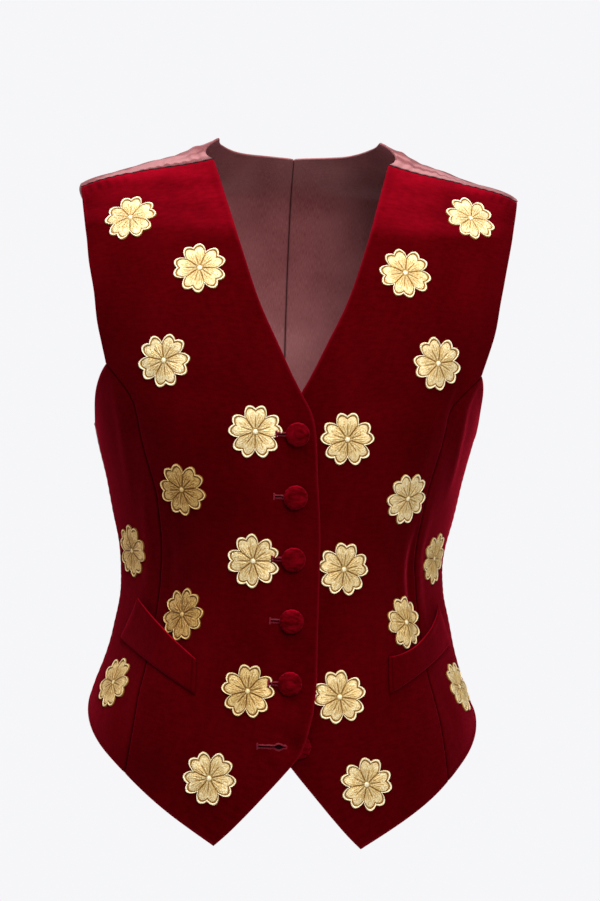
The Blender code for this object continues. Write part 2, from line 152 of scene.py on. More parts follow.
BUTTON_RADIUS = 10.2
BUTTON_STAND = 1.5
FREE_BUTTON_STAND = 0.4
BUTTON_RISE = 4.7
SHANK_RADIUS = 1.4
BUTTON_COUNT = 6
BUTTON_PITCH = 52.6
FIRST_BUTTON_DROP = 255.5
BUTTON_X = -2.5
FREE_BUTTON_X = 7.0
HOLE_FAR = 17.5
HOLE_NEAR = 5.5
FREE_HOLE_SHIFT = 8.0

FLOWER_RADIUS = 23.2
# Columns: panel, distance from the centre front, drop, direction of a petal in degrees, and a shift
# of its threads' tone, which is painted light: painted shade below 0 and painted highlight above 0,
# for how the light falls on each flower.
FLOWERS = {
    RIGHT: (
        ("centre", 147, 74, 29, 0.04),
        ("centre", 87.5, 117, 38, 0.02),
        ("centre", 116, 196, 62, 0.04),
        ("centre", 38, 254, 19, 0.04),
        ("centre", 93.5, 304, 41, -0.32),
        ("side", 131, 360, 2, -0.28),
        ("centre", 35.5, 363, 38, 0.0),
        ("centre", 91, 412, 64, -0.36),
        ("centre", 37.5, 473, 14, -0.14),
        ("side", 145.5, 475, 63, -0.16),
        ("centre", 67, 547, 51, 0.0),
    ),
    LEFT: (
        ("centre", 146, 64, 34, 0.06),
        ("centre", 88, 115, 46, 0.0),
        ("centre", 121, 191, 47, 0.04),
        ("centre", 40, 258, 20, 0.0),
        ("centre", 95, 306, 58, 0.04),
        ("side", 129, 359, 70, -0.08),
        ("centre", 40.5, 368, 14, 0.0),
        ("centre", 97.5, 414, 32, -0.06),
        ("centre", 40, 476, 29, -0.02),
        ("side", 151.5, 472, 56, 0.0),
        ("centre", 65, 549, 9, 0.02),
    ),
}
# Pocket welts, outer end then inner end. Columns: distance from the centre front and drop of the
# top corner, then of the bottom one.
WELT_ENDS = {
    RIGHT: ((122, 401, 141, 437), (79, 449, 80, 478)),
    LEFT: ((127, 400, 144, 434), (81, 443, 82, 474)),
}
# How far a welt sags a third of the way in, at its top and at its bottom.
WELT_SAGS = {RIGHT: (4, 2), LEFT: (15, 4)}
# This brings the highest value of sag_shape() to 1.
SAG_SCALE = 2.6
WELT_THICKNESS = 2.2
WELT_BOTTOM_STAND = 2.6
WELT_TOP_STAND = 4.8


def smooth(rows, at):
    """The columns after the first of a table, at values of its first column, as smooth curves."""
    table = np.array(rows, float)
    knots = table[:, 0]
    values = table[:, 1:]
    steps = np.diff(knots)[:, None]
    rises = np.diff(values, axis=0) / steps
    slopes = np.vstack([rises[:1], rises[:-1], rises[-1:]])[: len(knots)]
    slopes[-1] = rises[-1]
    before = rises[:-1]
    after = rises[1:]
    near = 2 * steps[1:] + steps[:-1]
    far = steps[1:] + 2 * steps[:-1]
    bends = before * after > 0
    mean = (near + far) / (near / np.where(bends, before, 1) + far / np.where(bends, after, 1))
    slopes[1:-1] = np.where(bends, mean, 0)
    at = np.asarray(at, float)
    index = np.clip(np.searchsorted(knots, at, side="right") - 1, 0, len(steps) - 1)
    step = steps[index]
    t = np.clip(((at - knots[index])[..., None]) / step, 0, 1)
    rise = values[index + 1] - values[index]
    ease = t * t * (3 - 2 * t)
    lean_in = t * (1 - t) ** 2 * slopes[index] * step
    lean_out = t * t * (t - 1) * slopes[index + 1] * step
    return values[index] + rise * ease + lean_in + lean_out


def ramp(value, start, end):
    """0 up to start, 1 from end on, and smooth between them."""
    t = np.clip((value - start) / (end - start), 0, 1)
    return t * t * (3 - 2 * t)


def form(turn, drop):
    """Points of the fitted form on the wearer's left, at a turn in radians and a drop in mm."""
    half, front, back, flatness, roundness = np.moveaxis(smooth(SECTIONS, drop), -1, 0)
    across = np.abs(np.sin(turn))
    fullness = np.clip(1 - across**flatness, 0, 1) ** (1 / roundness)
    y = np.where(np.cos(turn) > 0, -front * fullness, -back * np.cos(turn))
    return np.stack([half * np.sin(turn), y, -drop + 0 * turn], axis=-1)


def outward(turn, drop):
    """Unit normals of the fitted form, away from the body."""
    round_body = form(turn + SMALL_TURN, drop) - form(turn - SMALL_TURN, drop)
    down_body = form(turn, drop + SMALL_DROP) - form(turn, drop - SMALL_DROP)
    normal = np.cross(down_body, round_body)
    return normal / np.linalg.norm(normal, axis=-1, keepdims=True)


def cloth(side, turn, drop, out=0.0):
    """Points on a front or back of one side, moved out from its inner face, with its lap."""
    turn = np.asarray(turn, float)
    drop = np.asarray(drop, float)
    points = form(turn, drop) + outward(turn, drop) * np.asarray(out, float)[..., None]
    x = points[..., 0]
    in_front = np.cos(turn) > 0
    lap = side * LAP_STEP * ramp(x, LAP_END, LAP_FULL)
    if side == RIGHT:
        lap = lap - LIFT * ramp(drop, *LIFT_DROPS) * ramp(x, *LIFT_FROM_CENTRE)
    points[..., 1] += np.where(in_front, lap, 0)
    ease = smooth(SIDE_EASE, drop)[..., 0 if side == RIGHT else 1]
    points[..., 0] = side * (x + ease * ramp(x, EASE_FROM, EASE_FULL))
    return points


def turn_at(from_centre, drop):
    """The turn, in front of the side, where the form is this far from the centre front."""
    half = smooth(SECTIONS, drop)[..., 0]
    return np.arcsin(np.clip(np.asarray(from_centre, float) / half, -1, 1))


def edge_turn(edge, drop):
    drop = np.asarray(drop, float)
    return turn_at(smooth(edge, drop)[..., 0], drop)


# ---- relief of the cloth
# Soft folds, by side. Columns: height, half width, then the points that a fold runs through, each a
# distance from the centre front, or on the back a turn in degrees, and a drop. A height below 0
# makes a trough. On the fronts there are long folds down to the pockets, drags from the armholes and
# the first button, the skirts' folds, and on the right the free corner curled round the last button.
# On the back there are puckers at the neck end of the shoulders, drags below the arms and long folds
# into the waist.
FRONT_FOLDS = {
    RIGHT: (
        (1.4, 7.0, ((158, 206), (148, 240), (139, 280), (133, 312))),
        (-1.2, 6.0, ((147, 200), (139, 232), (129, 268))),
        (1.3, 7.5, ((124, 300), (119, 340), (118, 380), (122, 405))),
        (-1.0, 6.0, ((108, 330), (101, 360), (101, 400), (104, 425))),
        (0.9, 9.0, ((62, 334), (76, 356), (92, 372))),
        (-0.9, 10.0, ((30, 236), (70, 222), (112, 214))),
        (1.0, 11.0, ((92, 480), (104, 515), (112, 548))),
        (-0.8, 10.0, ((128, 470), (138, 500), (140, 530))),
        (1.6, 6.0, ((4, 490), (-8, 506), (-16, 514))),
        (-1.5, 5.0, ((14, 500), (2, 516), (-8, 526))),
        (1.2, 6.0, ((26, 514), (12, 528), (0, 538))),
    ),
    LEFT: (
        (1.6, 6.5, ((118, 318), (113, 350), (112, 385), (118, 418))),
        (-1.9, 5.0, ((106, 330), (103, 365), (105, 400), (108, 425))),
        (1.8, 6.0, ((97, 345), (95, 380), (100, 420), (104, 436))),
        (2.0, 7.0, ((160, 203), (150, 235), (143, 270), (138, 300))),
        (-1.9, 6.0, ((148, 196), (140, 226), (131, 262))),
        (1.0, 8.0, ((128, 180), (121, 222), (112, 262), (100, 300))),
        (-1.0, 9.0, ((60, 330), (72, 352), (90, 366))),
        (-0.9, 10.0, ((30, 240), (72, 224), (112, 212))),
        (1.0, 11.0, ((86, 482), (100, 515), (108, 552))),
        (-0.8, 10.0, ((128, 470), (140, 500), (142, 530))),
    ),
}
BACK_FOLDS = {
    RIGHT: (
        (1.6, 3.4, ((62, 14), (76, 7), (98, 7))),
        (-1.5, 3.0, ((54, 20), (73, 13), (97, 15))),
        (1.2, 3.2, ((52, 26), (71, 21), (93, 25))),
        (-1.5, 3.2, ((58, 33), (75, 29), (95, 35))),
        (2.0, 9.0, ((101, 264), (113, 302), (126, 347))),
        (-1.6, 8.0, ((109, 252), (123, 288), (140, 334))),
        (2.0, 10.0, ((152, 326), (147, 378), (150, 436))),
        (-1.5, 9.0, ((129, 354), (125, 404), (126, 462))),
        (1.3, 12.0, ((169, 124), (151, 164), (127, 200))),
    ),
    LEFT: (
        (1.6, 3.4, ((62, 14), (75, 6), (96, 6))),
        (-1.5, 3.0, ((54, 20), (72, 12), (96, 14))),
        (1.2, 3.2, ((52, 26), (70, 20), (92, 24))),
        (-1.5, 3.2, ((58, 32), (74, 28), (94, 34))),
        (2.0, 9.0, ((100, 262), (112, 300), (124, 345))),
        (-1.6, 8.0, ((108, 250), (122, 285), (138, 330))),
        (2.2, 10.0, ((150, 330), (146, 380), (150, 440))),
        (-1.6, 9.0, ((128, 350), (124, 400), (126, 460))),
        (1.4, 12.0, ((168, 120), (150, 160), (126, 196))),
    ),
}
FOLD_POINTS = 14
FOLD_REACH = 130
# Along a fold its height follows half a sine wave, from the first of these shares of it and over the
# second, to a power.
FOLD_FADE = (0.06, 0.88)
FOLD_FADE_POWER = 0.8
# A fold starts at the first share of its half width, and widens by the second.
FOLD_WIDENING = (0.75, 0.5)
# Gentle waves over all the cloth: height, then wave numbers per mm along X, Y and Z, and a phase.
WAVES = (
    (0.45, 0.031, 0.017, 0.023, 0.4),
    (0.35, -0.022, 0.035, 0.041, 2.1),
    (0.25, 0.061, -0.028, 0.037, 4.0),
    (0.16, 0.09, 0.05, -0.08, 1.3),
)


def fold_path(side, points, on_front):
    """A fold's points on the form, and how far along it each is."""
    table = [(step, *point) for step, point in enumerate(points)]
    along = np.linspace(0, len(points) - 1, FOLD_POINTS)
    place, drop = np.moveaxis(smooth(table, along), -1, 0)
    turn = turn_at(place, drop) if on_front else np.radians(place)
    return cloth(side, turn, drop)


def make_folds():
    folds = {RIGHT: [], LEFT: []}
    for table, on_front in ((FRONT_FOLDS, True), (BACK_FOLDS, False)):
        for side, rows in table.items():
            for height, width, points in rows:
                folds[side].append((height, width, fold_path(side, points, on_front)))
    return folds


FOLDS = make_folds()


def fold_relief(points, height, width, path):
    """The height that one fold adds at points. It fades towards the fold's ends."""
    nearest = np.full(points.shape[:-1], np.inf)
    where = np.zeros(points.shape[:-1])
    last = len(path) - 1
    for index in range(last):
        start, step = path[index], path[index + 1] - path[index]
        share = np.clip((points - start) @ step / (step @ step), 0, 1)
        distance = np.linalg.norm(points - start - share[..., None] * step, axis=-1)
        closer = distance < nearest
        nearest = np.where(closer, distance, nearest)
        where = np.where(closer, (index + share) / last, where)
    first, span = FOLD_FADE
    fade = np.sin(np.pi * np.clip(first + span * where, 0, 1)) ** FOLD_FADE_POWER
    narrow, widening = FOLD_WIDENING
    return height * fade * np.exp(-((nearest / (width * (narrow + widening * where))) ** 2))


def relief(side, turn, drop):
    """How far the worn cloth stands off the smooth form."""
    points = cloth(side, turn, drop)
    height = np.zeros(points.shape[:-1])
    for fold in FOLDS[side]:
        near = np.linalg.norm(points - fold[2].mean(axis=0), axis=-1) < FOLD_REACH
        if near.any():
            height[near] += fold_relief(points[near], *fold)
    x, y, z = np.moveaxis(points, -1, 0)
    for amount, across, deep, up, phase in WAVES:
        height += amount * np.sin(across * x + deep * y + up * z + phase)
    return height


def worn(side, turn, drop, out):
    """Points of the worn cloth, out from its inner face."""
    return cloth(side, turn, drop, out + relief(side, turn, drop))


# ---- sheets with turned edges
# How far apart a sheet's points are, and how far in from an edge its first ones are.
CELL = 2.3
EDGE_LINES = (0, 0.08, 0.27, 0.6, 1.0, 1.6, 2.4, 3.4)
EDGE_RADIUS = 1.0
# A turned edge is thicker by this much, most at BULK_INSET from it.
EDGE_BULK = 0.35
BULK_INSET = 3.0
BULK_WIDTH = 2.2
SEAM_DEPTH = 1.0
SEAM_WIDTH = 1.7
# Half widths in mm of the painted shade down in a seam and of the painted highlight along a turned
# edge.
SEAM_SHADE = 0.75
PAINTED_EDGE_SHEEN_WIDTH = 1.5
# The height of puckers along a seam, and where satin is eased into one, and that seam's depth.
PUCKER = 0.16
EASED = 0.5
EASED_DEPTH = 0.15
PUCKER_REACH = 4.0
PUCKER_PITCH = 8.5
# The puckers' spacing drifts by this many radians, over this many mm to a radian.
PUCKER_DRIFT = 3
PUCKER_DRIFT_LENGTH = 31
SHARP = math.radians(55)
SAME_PLACE = 1e-6


def lines(length, cell=CELL):
    """Shares from 0 to 1, about a cell apart over a length in mm, and closer near both ends."""
    near = np.array(EDGE_LINES) / length
    count = max(2, round((1 - 2 * near[-1]) * length / cell))
    middle = np.linspace(near[-1], 1 - near[-1], count + 1)
    return np.concatenate([near[:-1], middle, 1 - near[-2::-1]])


def turned(distance):
    """Half of the cloth's thickness as a share, this far in from a turned edge."""
    t = np.clip(distance / EDGE_RADIUS, 0, 1)
    return np.sqrt(1 - (1 - t) ** 2)


def edge_profile(distances, free, depths=(SEAM_DEPTH,) * 4):
    """The thickness share, the dip and the bulk of a sheet, from its distances to each edge."""
    share = np.ones(distances[0].shape)
    dip = np.zeros(distances[0].shape)
    bulk = np.zeros(distances[0].shape)
    for distance, is_free, depth in zip(distances, free, depths):
        share = np.minimum(share, np.where(is_free, turned(distance), 1))
        groove = depth * (1 - np.clip(distance / SEAM_WIDTH, 0, 1)) ** 2
        dip = np.maximum(dip, np.where(is_free, 0, groove))
        roll = EDGE_BULK * np.exp(-(((distance - BULK_INSET) / BULK_WIDTH) ** 2))
        bulk = np.maximum(bulk, np.where(is_free, roll, 0))
    return share, dip, bulk


def painted_seam_shade_and_edge_sheen(distances, free):
    """Painted shade, 1 down in a seam, and painted highlight, -1 on a turned edge, fading to 0 beside
    them.
    """
    shade = np.zeros(distances[0].shape)
    for distance, is_free in zip(distances, free):
        seam = np.exp(-((distance / SEAM_SHADE) ** 2))
        edge = -np.exp(-((distance / PAINTED_EDGE_SHEEN_WIDTH) ** 2))
        here = np.where(is_free, edge, seam)
        shade = np.where(np.abs(here) > np.abs(shade), here, shade)
    return shade


def add_object(name, data):
    obj = bpy.data.objects.new(name, data)
    bpy.context.scene.collection.objects.link(obj)
    return obj


def new_piece(name, points, faces, materials, smooth=True):
    """An object made of this mesh, with its points in mm."""
    mesh = bpy.data.meshes.new(name)
    mesh.from_pydata((np.asarray(points) * MM).tolist(), [], faces)
    mesh.polygons.foreach_set("use_smooth", np.full(len(faces), smooth))
    for material in materials:
        mesh.materials.append(material)
    return add_object(name, mesh)


def set_vectors(mesh, name, values):
    mesh.attributes.new(name, "FLOAT_VECTOR", "POINT").data.foreach_set("vector", values.ravel())


def grid_faces(index):
    """Quads between the neighbours in a grid of point numbers."""
    corners = (index[:-1, :-1], index[:-1, 1:], index[1:, 1:], index[1:, :-1])
    return np.stack([corner.ravel() for corner in corners], axis=-1)


def ring_faces(rings, count):
    """Quads between each ring of count points and the next."""
    step = np.arange(count)
    after = (step + 1) % count
    band = np.stack([step, after, count + after, count + step], axis=-1)
    return np.concatenate([band + ring * count for ring in range(rings - 1)])


def sheet_mesh(name, outer, inner, merged, materials, flat, seam):
    """A closed thin solid between two grids of points, which share the points marked merged."""
    rows, columns = merged.shape
    outer_index = np.arange(rows * columns).reshape(rows, columns)
    own = ~merged
    inner_index = outer_index.copy()
    inner_index[own] = rows * columns + np.arange(own.sum())
    loop = [(0, c) for c in range(columns)] + [(r, columns - 1) for r in range(1, rows)]
    loop += [(rows - 1, c) for c in range(columns - 2, -1, -1)]
    loop += [(r, 0) for r in range(rows - 2, 0, -1)]
    walls = []
    for here, after in zip(loop, loop[1:] + loop[:1]):
        corners = [outer_index[after], outer_index[here], inner_index[here], inner_index[after]]
        kept = list(dict.fromkeys(corners))
        if len(kept) > 2:
            walls.append(kept)
    faces = grid_faces(outer_index).tolist() + grid_faces(inner_index)[:, ::-1].tolist() + walls
    obj = new_piece(name, np.concatenate([outer.reshape(-1, 3), inner[own]]), faces, materials)
    mesh = obj.data
    front = (rows - 1) * (columns - 1)
    marks = np.zeros(len(faces), np.int32)
    marks[front : 2 * front] = 1
    mesh.polygons.foreach_set("material_index", marks)
    set_vectors(mesh, "weave_mm", np.concatenate([flat.reshape(-1, 3), flat[own]]))
    # The seam attribute carries painted shade in seams and painted highlight on turned edges.
    painted_seam_light = mesh.attributes.new("seam", "FLOAT", "POINT")
    painted_seam_light.data.foreach_set("value", np.concatenate([seam.ravel(), seam[own]]))
    mesh.validate()
    face_outward(obj)
    return obj


def face_outward(obj, merge=False):
    """Turns every face outward, and marks the sharp edges. It can first merge doubled points."""
    bm = bmesh.new()
    bm.from_mesh(obj.data)
    if merge:
        bmesh.ops.remove_doubles(bm, verts=bm.verts, dist=SAME_PLACE)
    bmesh.ops.recalc_face_normals(bm, faces=bm.faces)
    for edge in bm.edges:
        edge.smooth = edge.calc_face_angle(0) < SHARP
    bm.to_mesh(obj.data)
    bm.free()


def flat_coordinates(points):
    """Distances over a grid of points, along its rows and columns, in mm."""
    across = np.linalg.norm(np.diff(points, axis=1), axis=-1)
    down = np.linalg.norm(np.diff(points, axis=0), axis=-1)
    rows, columns = points.shape[:2]
    u = np.concatenate([np.zeros((rows, 1)), np.cumsum(across, axis=1)], axis=1)
    u -= u[:, -1:] / 2
    v = np.concatenate([np.zeros((1, columns)), np.cumsum(down, axis=0)], axis=0)
    v = np.broadcast_to(v.mean(axis=1, keepdims=True), v.shape)
    return np.stack([u, v, np.zeros_like(u)], axis=-1)


def fading_bow(rows, first, last):
    fade_first = np.clip(1 - rows / BOW_FADE_ROWS, 0, 1)
    fade_last = np.clip(1 - (rows[-1] - rows) / BOW_FADE_ROWS, 0, 1)
    return first * fade_first + last * fade_last


def ruled(inner, outer, share, bows):
    inner_turn, inner_drop = inner
    outer_turn, outer_drop = outer
    turn = inner_turn[:, None] + (outer_turn - inner_turn)[:, None] * share
    drop = inner_drop[:, None] + (outer_drop - inner_drop)[:, None] * share
    return turn, drop + bows[:, None] * 4 * share * (1 - share)


def front_edges(rows):
    """Turns and drops of a centre front's two edges at fractional rows."""
    count = np.cumsum([row[2] for row in FRONT_ROWS])
    centre_drop = np.interp(rows, count, [row[0] for row in FRONT_ROWS])
    outer_drop = np.interp(rows, count, [row[1] for row in FRONT_ROWS])
    centre_turn = np.where(
        centre_drop <= CUTAWAY_EDGE[0][0],
        edge_turn(NECK_AND_FRONT_EDGE, centre_drop),
        edge_turn(CUTAWAY_EDGE, centre_drop),
    )
    outer_turn = np.where(
        outer_drop <= PRINCESS_SEAM[0][0],
        edge_turn(FRONT_ARMHOLE, outer_drop),
        edge_turn(PRINCESS_SEAM, outer_drop),
    )
    return (centre_turn, centre_drop), (outer_turn, outer_drop)


def side_seam(share):
    drop = UNDERARM_DROP + (SIDE_HEM_DROP - UNDERARM_DROP) * share
    return np.radians(smooth(SIDE_SEAM, drop)[..., 0]), drop


def back_edges(rows):
    """Turns and drops of a back's two edges at fractional rows."""
    (seam_turn, seam_drop), (tip_turn, tip_drop) = front_edges(np.zeros(1))
    first = (math.degrees(seam_turn[0]), seam_drop[0], math.degrees(tip_turn[0]), tip_drop[0])
    table = [(step, *row) for step, row in enumerate((first, *BACK_ROWS))]
    yoke = smooth(table, rows)
    last = len(table) - 1
    share = np.clip((rows - last) / (LAST_ROW - ROWS_ABOVE_PRINCESS_SEAM), 0, 1)
    below = rows > last
    seam = side_seam(share)
    inner_drop = BACK_ROWS[-1][1] + (BACK_HEM_DROP - BACK_ROWS[-1][1]) * share
    inner_turn = np.where(below, math.pi, np.radians(yoke[:, 0]))
    outer_turn = np.where(below, seam[0], np.radians(yoke[:, 2]))
    inner_drop = np.where(below, inner_drop, yoke[:, 1])
    outer_drop = np.where(below, seam[1], yoke[:, 3])
    return (inner_turn, inner_drop), (outer_turn, outer_drop)


# About how wide and long each panel is, for the spacing of its points.
PANEL_SIZES = {"front_centre": (165, 590), "front_side": (70, 310), "back": (185, 600)}


def edge_distances(across, down, width, length):
    """Distances in mm to a grid's first row, last row, first column and last column."""
    shares = (down[:, None], across[None, :])
    near = [share * size for share, size in zip(shares, (length, width))]
    far = [(1 - share) * size for share, size in zip(shares, (length, width))]
    shape = (len(down), len(across))
    return [np.broadcast_to(grid, shape) for grid in (near[0], far[0], near[1], far[1])]


def panel_grid(kind):
    """Turns, drops, distances to the four edges, and which edges are free, for one panel."""
    width, length = PANEL_SIZES[kind]
    across = lines(width)
    down = lines(length)
    if kind == "front_centre":
        rows = down * LAST_ROW
        inner, outer = front_edges(rows)
        bows = fading_bow(rows, SHOULDER_BOW, 0)
        free = (False, True, True, rows[:, None] < ROWS_ABOVE_PRINCESS_SEAM)
    elif kind == "front_side":
        rows = ROWS_ABOVE_PRINCESS_SEAM + down * (LAST_ROW - ROWS_ABOVE_PRINCESS_SEAM)
        inner = front_edges(rows)[1]
        outer = side_seam(down)
        bows = fading_bow(rows - rows[0], ARMHOLE_BOW, SIDE_HEM_BOW)
        free = (True, True, False, False)
    else:
        underarm_row = len(BACK_ROWS)
        rows = down * (underarm_row + LAST_ROW - ROWS_ABOVE_PRINCESS_SEAM)
        inner, outer = back_edges(rows)
        bows = fading_bow(rows, SHOULDER_BOW, 0) * (rows < 1)
        at_neck = inner[0][:, None] < math.pi - SMALL_TURN
        free = (False, True, at_neck, rows[:, None] < underarm_row)
    turn, drop = ruled(inner, outer, across, bows)
    return turn, drop, edge_distances(across, down, width, length), free


def make_panel(kind, side, materials):
    turn, drop, distances, free = panel_grid(kind)
    # The satin is eased into the shoulder seam, so it puckers more there, in a shallower groove.
    eased = kind == "back"
    depths = (EASED_DEPTH if eased else SEAM_DEPTH, SEAM_DEPTH, SEAM_DEPTH, SEAM_DEPTH)
    puckers = (EASED if eased else PUCKER, PUCKER, PUCKER, PUCKER)
    share, dip, bulk = edge_profile(distances, free, depths)
    flat = flat_coordinates(form(turn, drop))
    for distance, is_free, axis, height in zip(distances, free, (0, 0, 1, 1), puckers):
        along = flat[..., axis]
        drift = PUCKER_DRIFT * np.sin(along / PUCKER_DRIFT_LENGTH)
        wave = np.sin(2 * np.pi * along / PUCKER_PITCH + drift)
        near = height * wave * np.exp(-(((distance - PUCKER_REACH) / PUCKER_REACH) ** 2))
        bulk = bulk + np.where(is_free, 0, near)
    middle = CLOTH / 2
    outer = worn(side, turn, drop, middle + middle * share - dip + bulk)
    inner = worn(side, turn, drop, middle - middle * share + bulk * (share < 1))
    name = f"{kind}_{SIDE_NAMES[side]}_cloth"
    return sheet_mesh(name, outer, inner, share <= 0, materials, flat, painted_seam_shade_and_edge_sheen(distances, free))


# ---- materials
def new_material(name):
    material = bpy.data.materials.new(name)
    material.use_nodes = True
    return material, Nodes(material.node_tree)


class Nodes:
    """Short names for the nodes that the materials are made of."""

    def __init__(self, tree):
        self.tree = tree

    def fill(self, node, inputs):
        """Links or sets inputs of a node. A color is given without its alpha."""
        for key, value in inputs.items():
            socket = node.inputs[key]
            if isinstance(value, bpy.types.NodeSocket):
                self.tree.links.new(value, socket)
            else:
                socket.default_value = (*value, 1) if socket.type == "RGBA" else value

    def surface(self, inputs):
        self.fill(self.tree.nodes["Principled BSDF"], inputs)

    def add(self, kind, inputs=None, **settings):
        node = self.tree.nodes.new(kind)
        for key, value in settings.items():
            setattr(node, key, value)
        self.fill(node, inputs or {})
        return node

    def attribute(self, name, output="Vector"):
        return self.add("ShaderNodeAttribute", attribute_name=name).outputs[output]

    def position(self):
        return self.add("ShaderNodeTexCoord").outputs["Object"]

    def upward(self, low, high):
        """How far a surface faces up, from 0 where its normal's z is low to 1 where it is high."""
        normal = self.add("ShaderNodeTexCoord").outputs["Normal"]
        return self.range(self.split(normal)[2], low, high)

    def split(self, vector):
        return self.add("ShaderNodeSeparateXYZ", {0: vector}).outputs

    def noise(self, vector, scale, detail=3.0, roughness=0.5):
        inputs = {"Vector": vector, "Scale": scale, "Detail": detail, "Roughness": roughness}
        return self.add("ShaderNodeTexNoise", inputs).outputs["Fac"]

    def math(self, operation, a, b=0.0):
        return self.add("ShaderNodeMath", {0: a, 1: b}, operation=operation).outputs[0]

    def times(self, a, b):
        return self.math("MULTIPLY", a, b)

    def plus(self, a, b):
        return self.math("ADD", a, b)

    def weighted(self, *parts):
        """The sum of values, each times its weight."""
        first, *others = [self.times(value, weight) for value, weight in parts]
        for other in others:
            first = self.plus(first, other)
        return first

    def range(self, value, low, high, to_low=0.0, to_high=1.0):
        inputs = {"Value": value, 1: low, 2: high, 3: to_low, 4: to_high}
        return self.add("ShaderNodeMapRange", inputs).outputs[0]

    def mix(self, share, a, b):
        return self.add("ShaderNodeMix", {0: share, 6: a, 7: b}, data_type="RGBA").outputs[2]

    def stretch(self, vector, x, y, z):
        return self.add("ShaderNodeMapping", {"Vector": vector, "Scale": (x, y, z)}).outputs[0]

    def bump(self, height, strength, distance, normal=None):
        inputs = {"Height": height, "Strength": strength, "Distance": distance}
        if normal is not None:
            inputs["Normal"] = normal
        return self.add("ShaderNodeBump", inputs).outputs[0]


VELVET_DEEP = (0.033, 0.0001, 0.0004)
VELVET_LIT = (0.066, 0.0004, 0.0016)
# Painted sheen on upward faces, and the colour that the button covers' lighter mottle goes towards.
VELVET_PAINTED_SHEEN_AND_MOTTLE = (0.27, 0.0018, 0.010)
VELVET_PAINTED_EDGE_SHEEN = (0.17, 0.002, 0.008)
PAINTED_SEAM_SHADE = (0.010, 0.0002, 0.0004)
VELVET_SHEEN = (0.42, 0.012, 0.034)
REVERSE_DEEP = (0.008, 0.0002, 0.0006)
REVERSE_LIT = (0.06, 0.002, 0.006)
REVERSE_THREADS_PER_MM = 1.1


def velvet(name, lit):
    """Claret pile in patches and flecks, with painted sheen on upper faces. lit is how much its
    mottle lightens.
    """
    material, n = new_material(name)
    at = n.position()
    weave = n.attribute("weave_mm")
    nap = n.noise(n.stretch(at, 1, 1, 0.45), 22.0, 4.0, 0.55)
    streaks = n.noise(n.stretch(weave, 0.35, 0.03, 1), 1.0)
    pile = n.noise(weave, 1.9, 2.0, 0.6)
    mottle = n.range(n.noise(n.stretch(weave, 0.13, 0.32, 1), 1.0, 3.0, 0.65), 0.36, 0.66)
    shade = n.weighted(
        (n.range(nap, 0.35, 0.68), 0.4),
        (n.range(pile, 0.3, 0.75), 0.2),
        (mottle, 0.45),
        (n.range(streaks, 0.35, 0.7), 0.15),
    )
    # Painted sheen: upward faces lighten, as the top light catches the pile leaning down the cloth.
    clouds = n.noise(n.stretch(at, 1, 1, 1.8), 14.0, 3.0, 0.6)
    painted_sheen_and_mottle = n.times(n.upward(0.48, 0.84), n.range(clouds, 0.34, 0.64, 0.45, 1.0))
    painted_sheen_and_mottle = n.math("MAXIMUM", painted_sheen_and_mottle, n.times(mottle, lit))
    painted_sheen_and_mottle = n.times(painted_sheen_and_mottle, n.range(mottle, 0.0, 1.0, 0.8, 1.1))
    color = n.mix(painted_sheen_and_mottle, n.mix(shade, VELVET_DEEP, VELVET_LIT), VELVET_PAINTED_SHEEN_AND_MOTTLE)
    # Painted highlight along turned edges, then painted shade down in the seams.
    seam = n.attribute("seam", "Fac")
    color = n.mix(n.range(seam, 0.0, -1.0, 0.0, 0.5), color, VELVET_PAINTED_EDGE_SHEEN)
    n.surface({
        "Base Color": n.mix(n.range(seam, 0.0, 1.0), color, PAINTED_SEAM_SHADE),
        "Roughness": 0.85,
        "Specular IOR Level": 0.0,
        "Sheen Weight": 1.0,
        "Sheen Roughness": 0.35,
        "Sheen Tint": VELVET_SHEEN,
        "Normal": n.bump(pile, 0.35, 0.0004, n.bump(nap, 0.25, 0.004)),
    })
    return material


def velvet_reverse():
    """The plain woven back of the velvet, cloudy and darker than the pile."""
    material, n = new_material("velvet_reverse")
    thread = plain_weave(n, n.attribute("weave_mm"), REVERSE_THREADS_PER_MM)
    cloudy = n.noise(n.position(), 30.0)
    tone = n.times(n.range(thread, 0.0, 1.0, 0.55, 1.0), n.range(cloudy, 0.3, 0.7, 0.8, 1.0))
    n.surface({
        "Base Color": n.mix(tone, REVERSE_DEEP, REVERSE_LIT),
        "Roughness": 0.8,
        "Specular IOR Level": 0.0,
        "Normal": n.bump(thread, 0.4, 0.0002),
    })
    return material


def plain_weave(n, vector, threads_per_mm):
    """The upper of two sets of threads, which run across and along the cloth."""
    waves = []
    for place in n.split(vector)[:2]:
        turns = n.times(place, threads_per_mm * math.pi)
        waves.append(n.math("ABSOLUTE", n.math("SINE", turns)))
    return n.math("MAXIMUM", *waves)


SATIN_DEEP = (0.085, 0.012, 0.015)
SATIN_LIT = (0.32, 0.115, 0.12)
SATIN_PAINTED_HIGHLIGHT = (0.38, 0.165, 0.172)
SATIN_PAINTED_SEAM_SHADE = (0.012, 0.001, 0.002)
SATIN_SPECULAR = (1.0, 0.70, 0.70)
SATIN_SHEEN = (0.75, 0.28, 0.32)


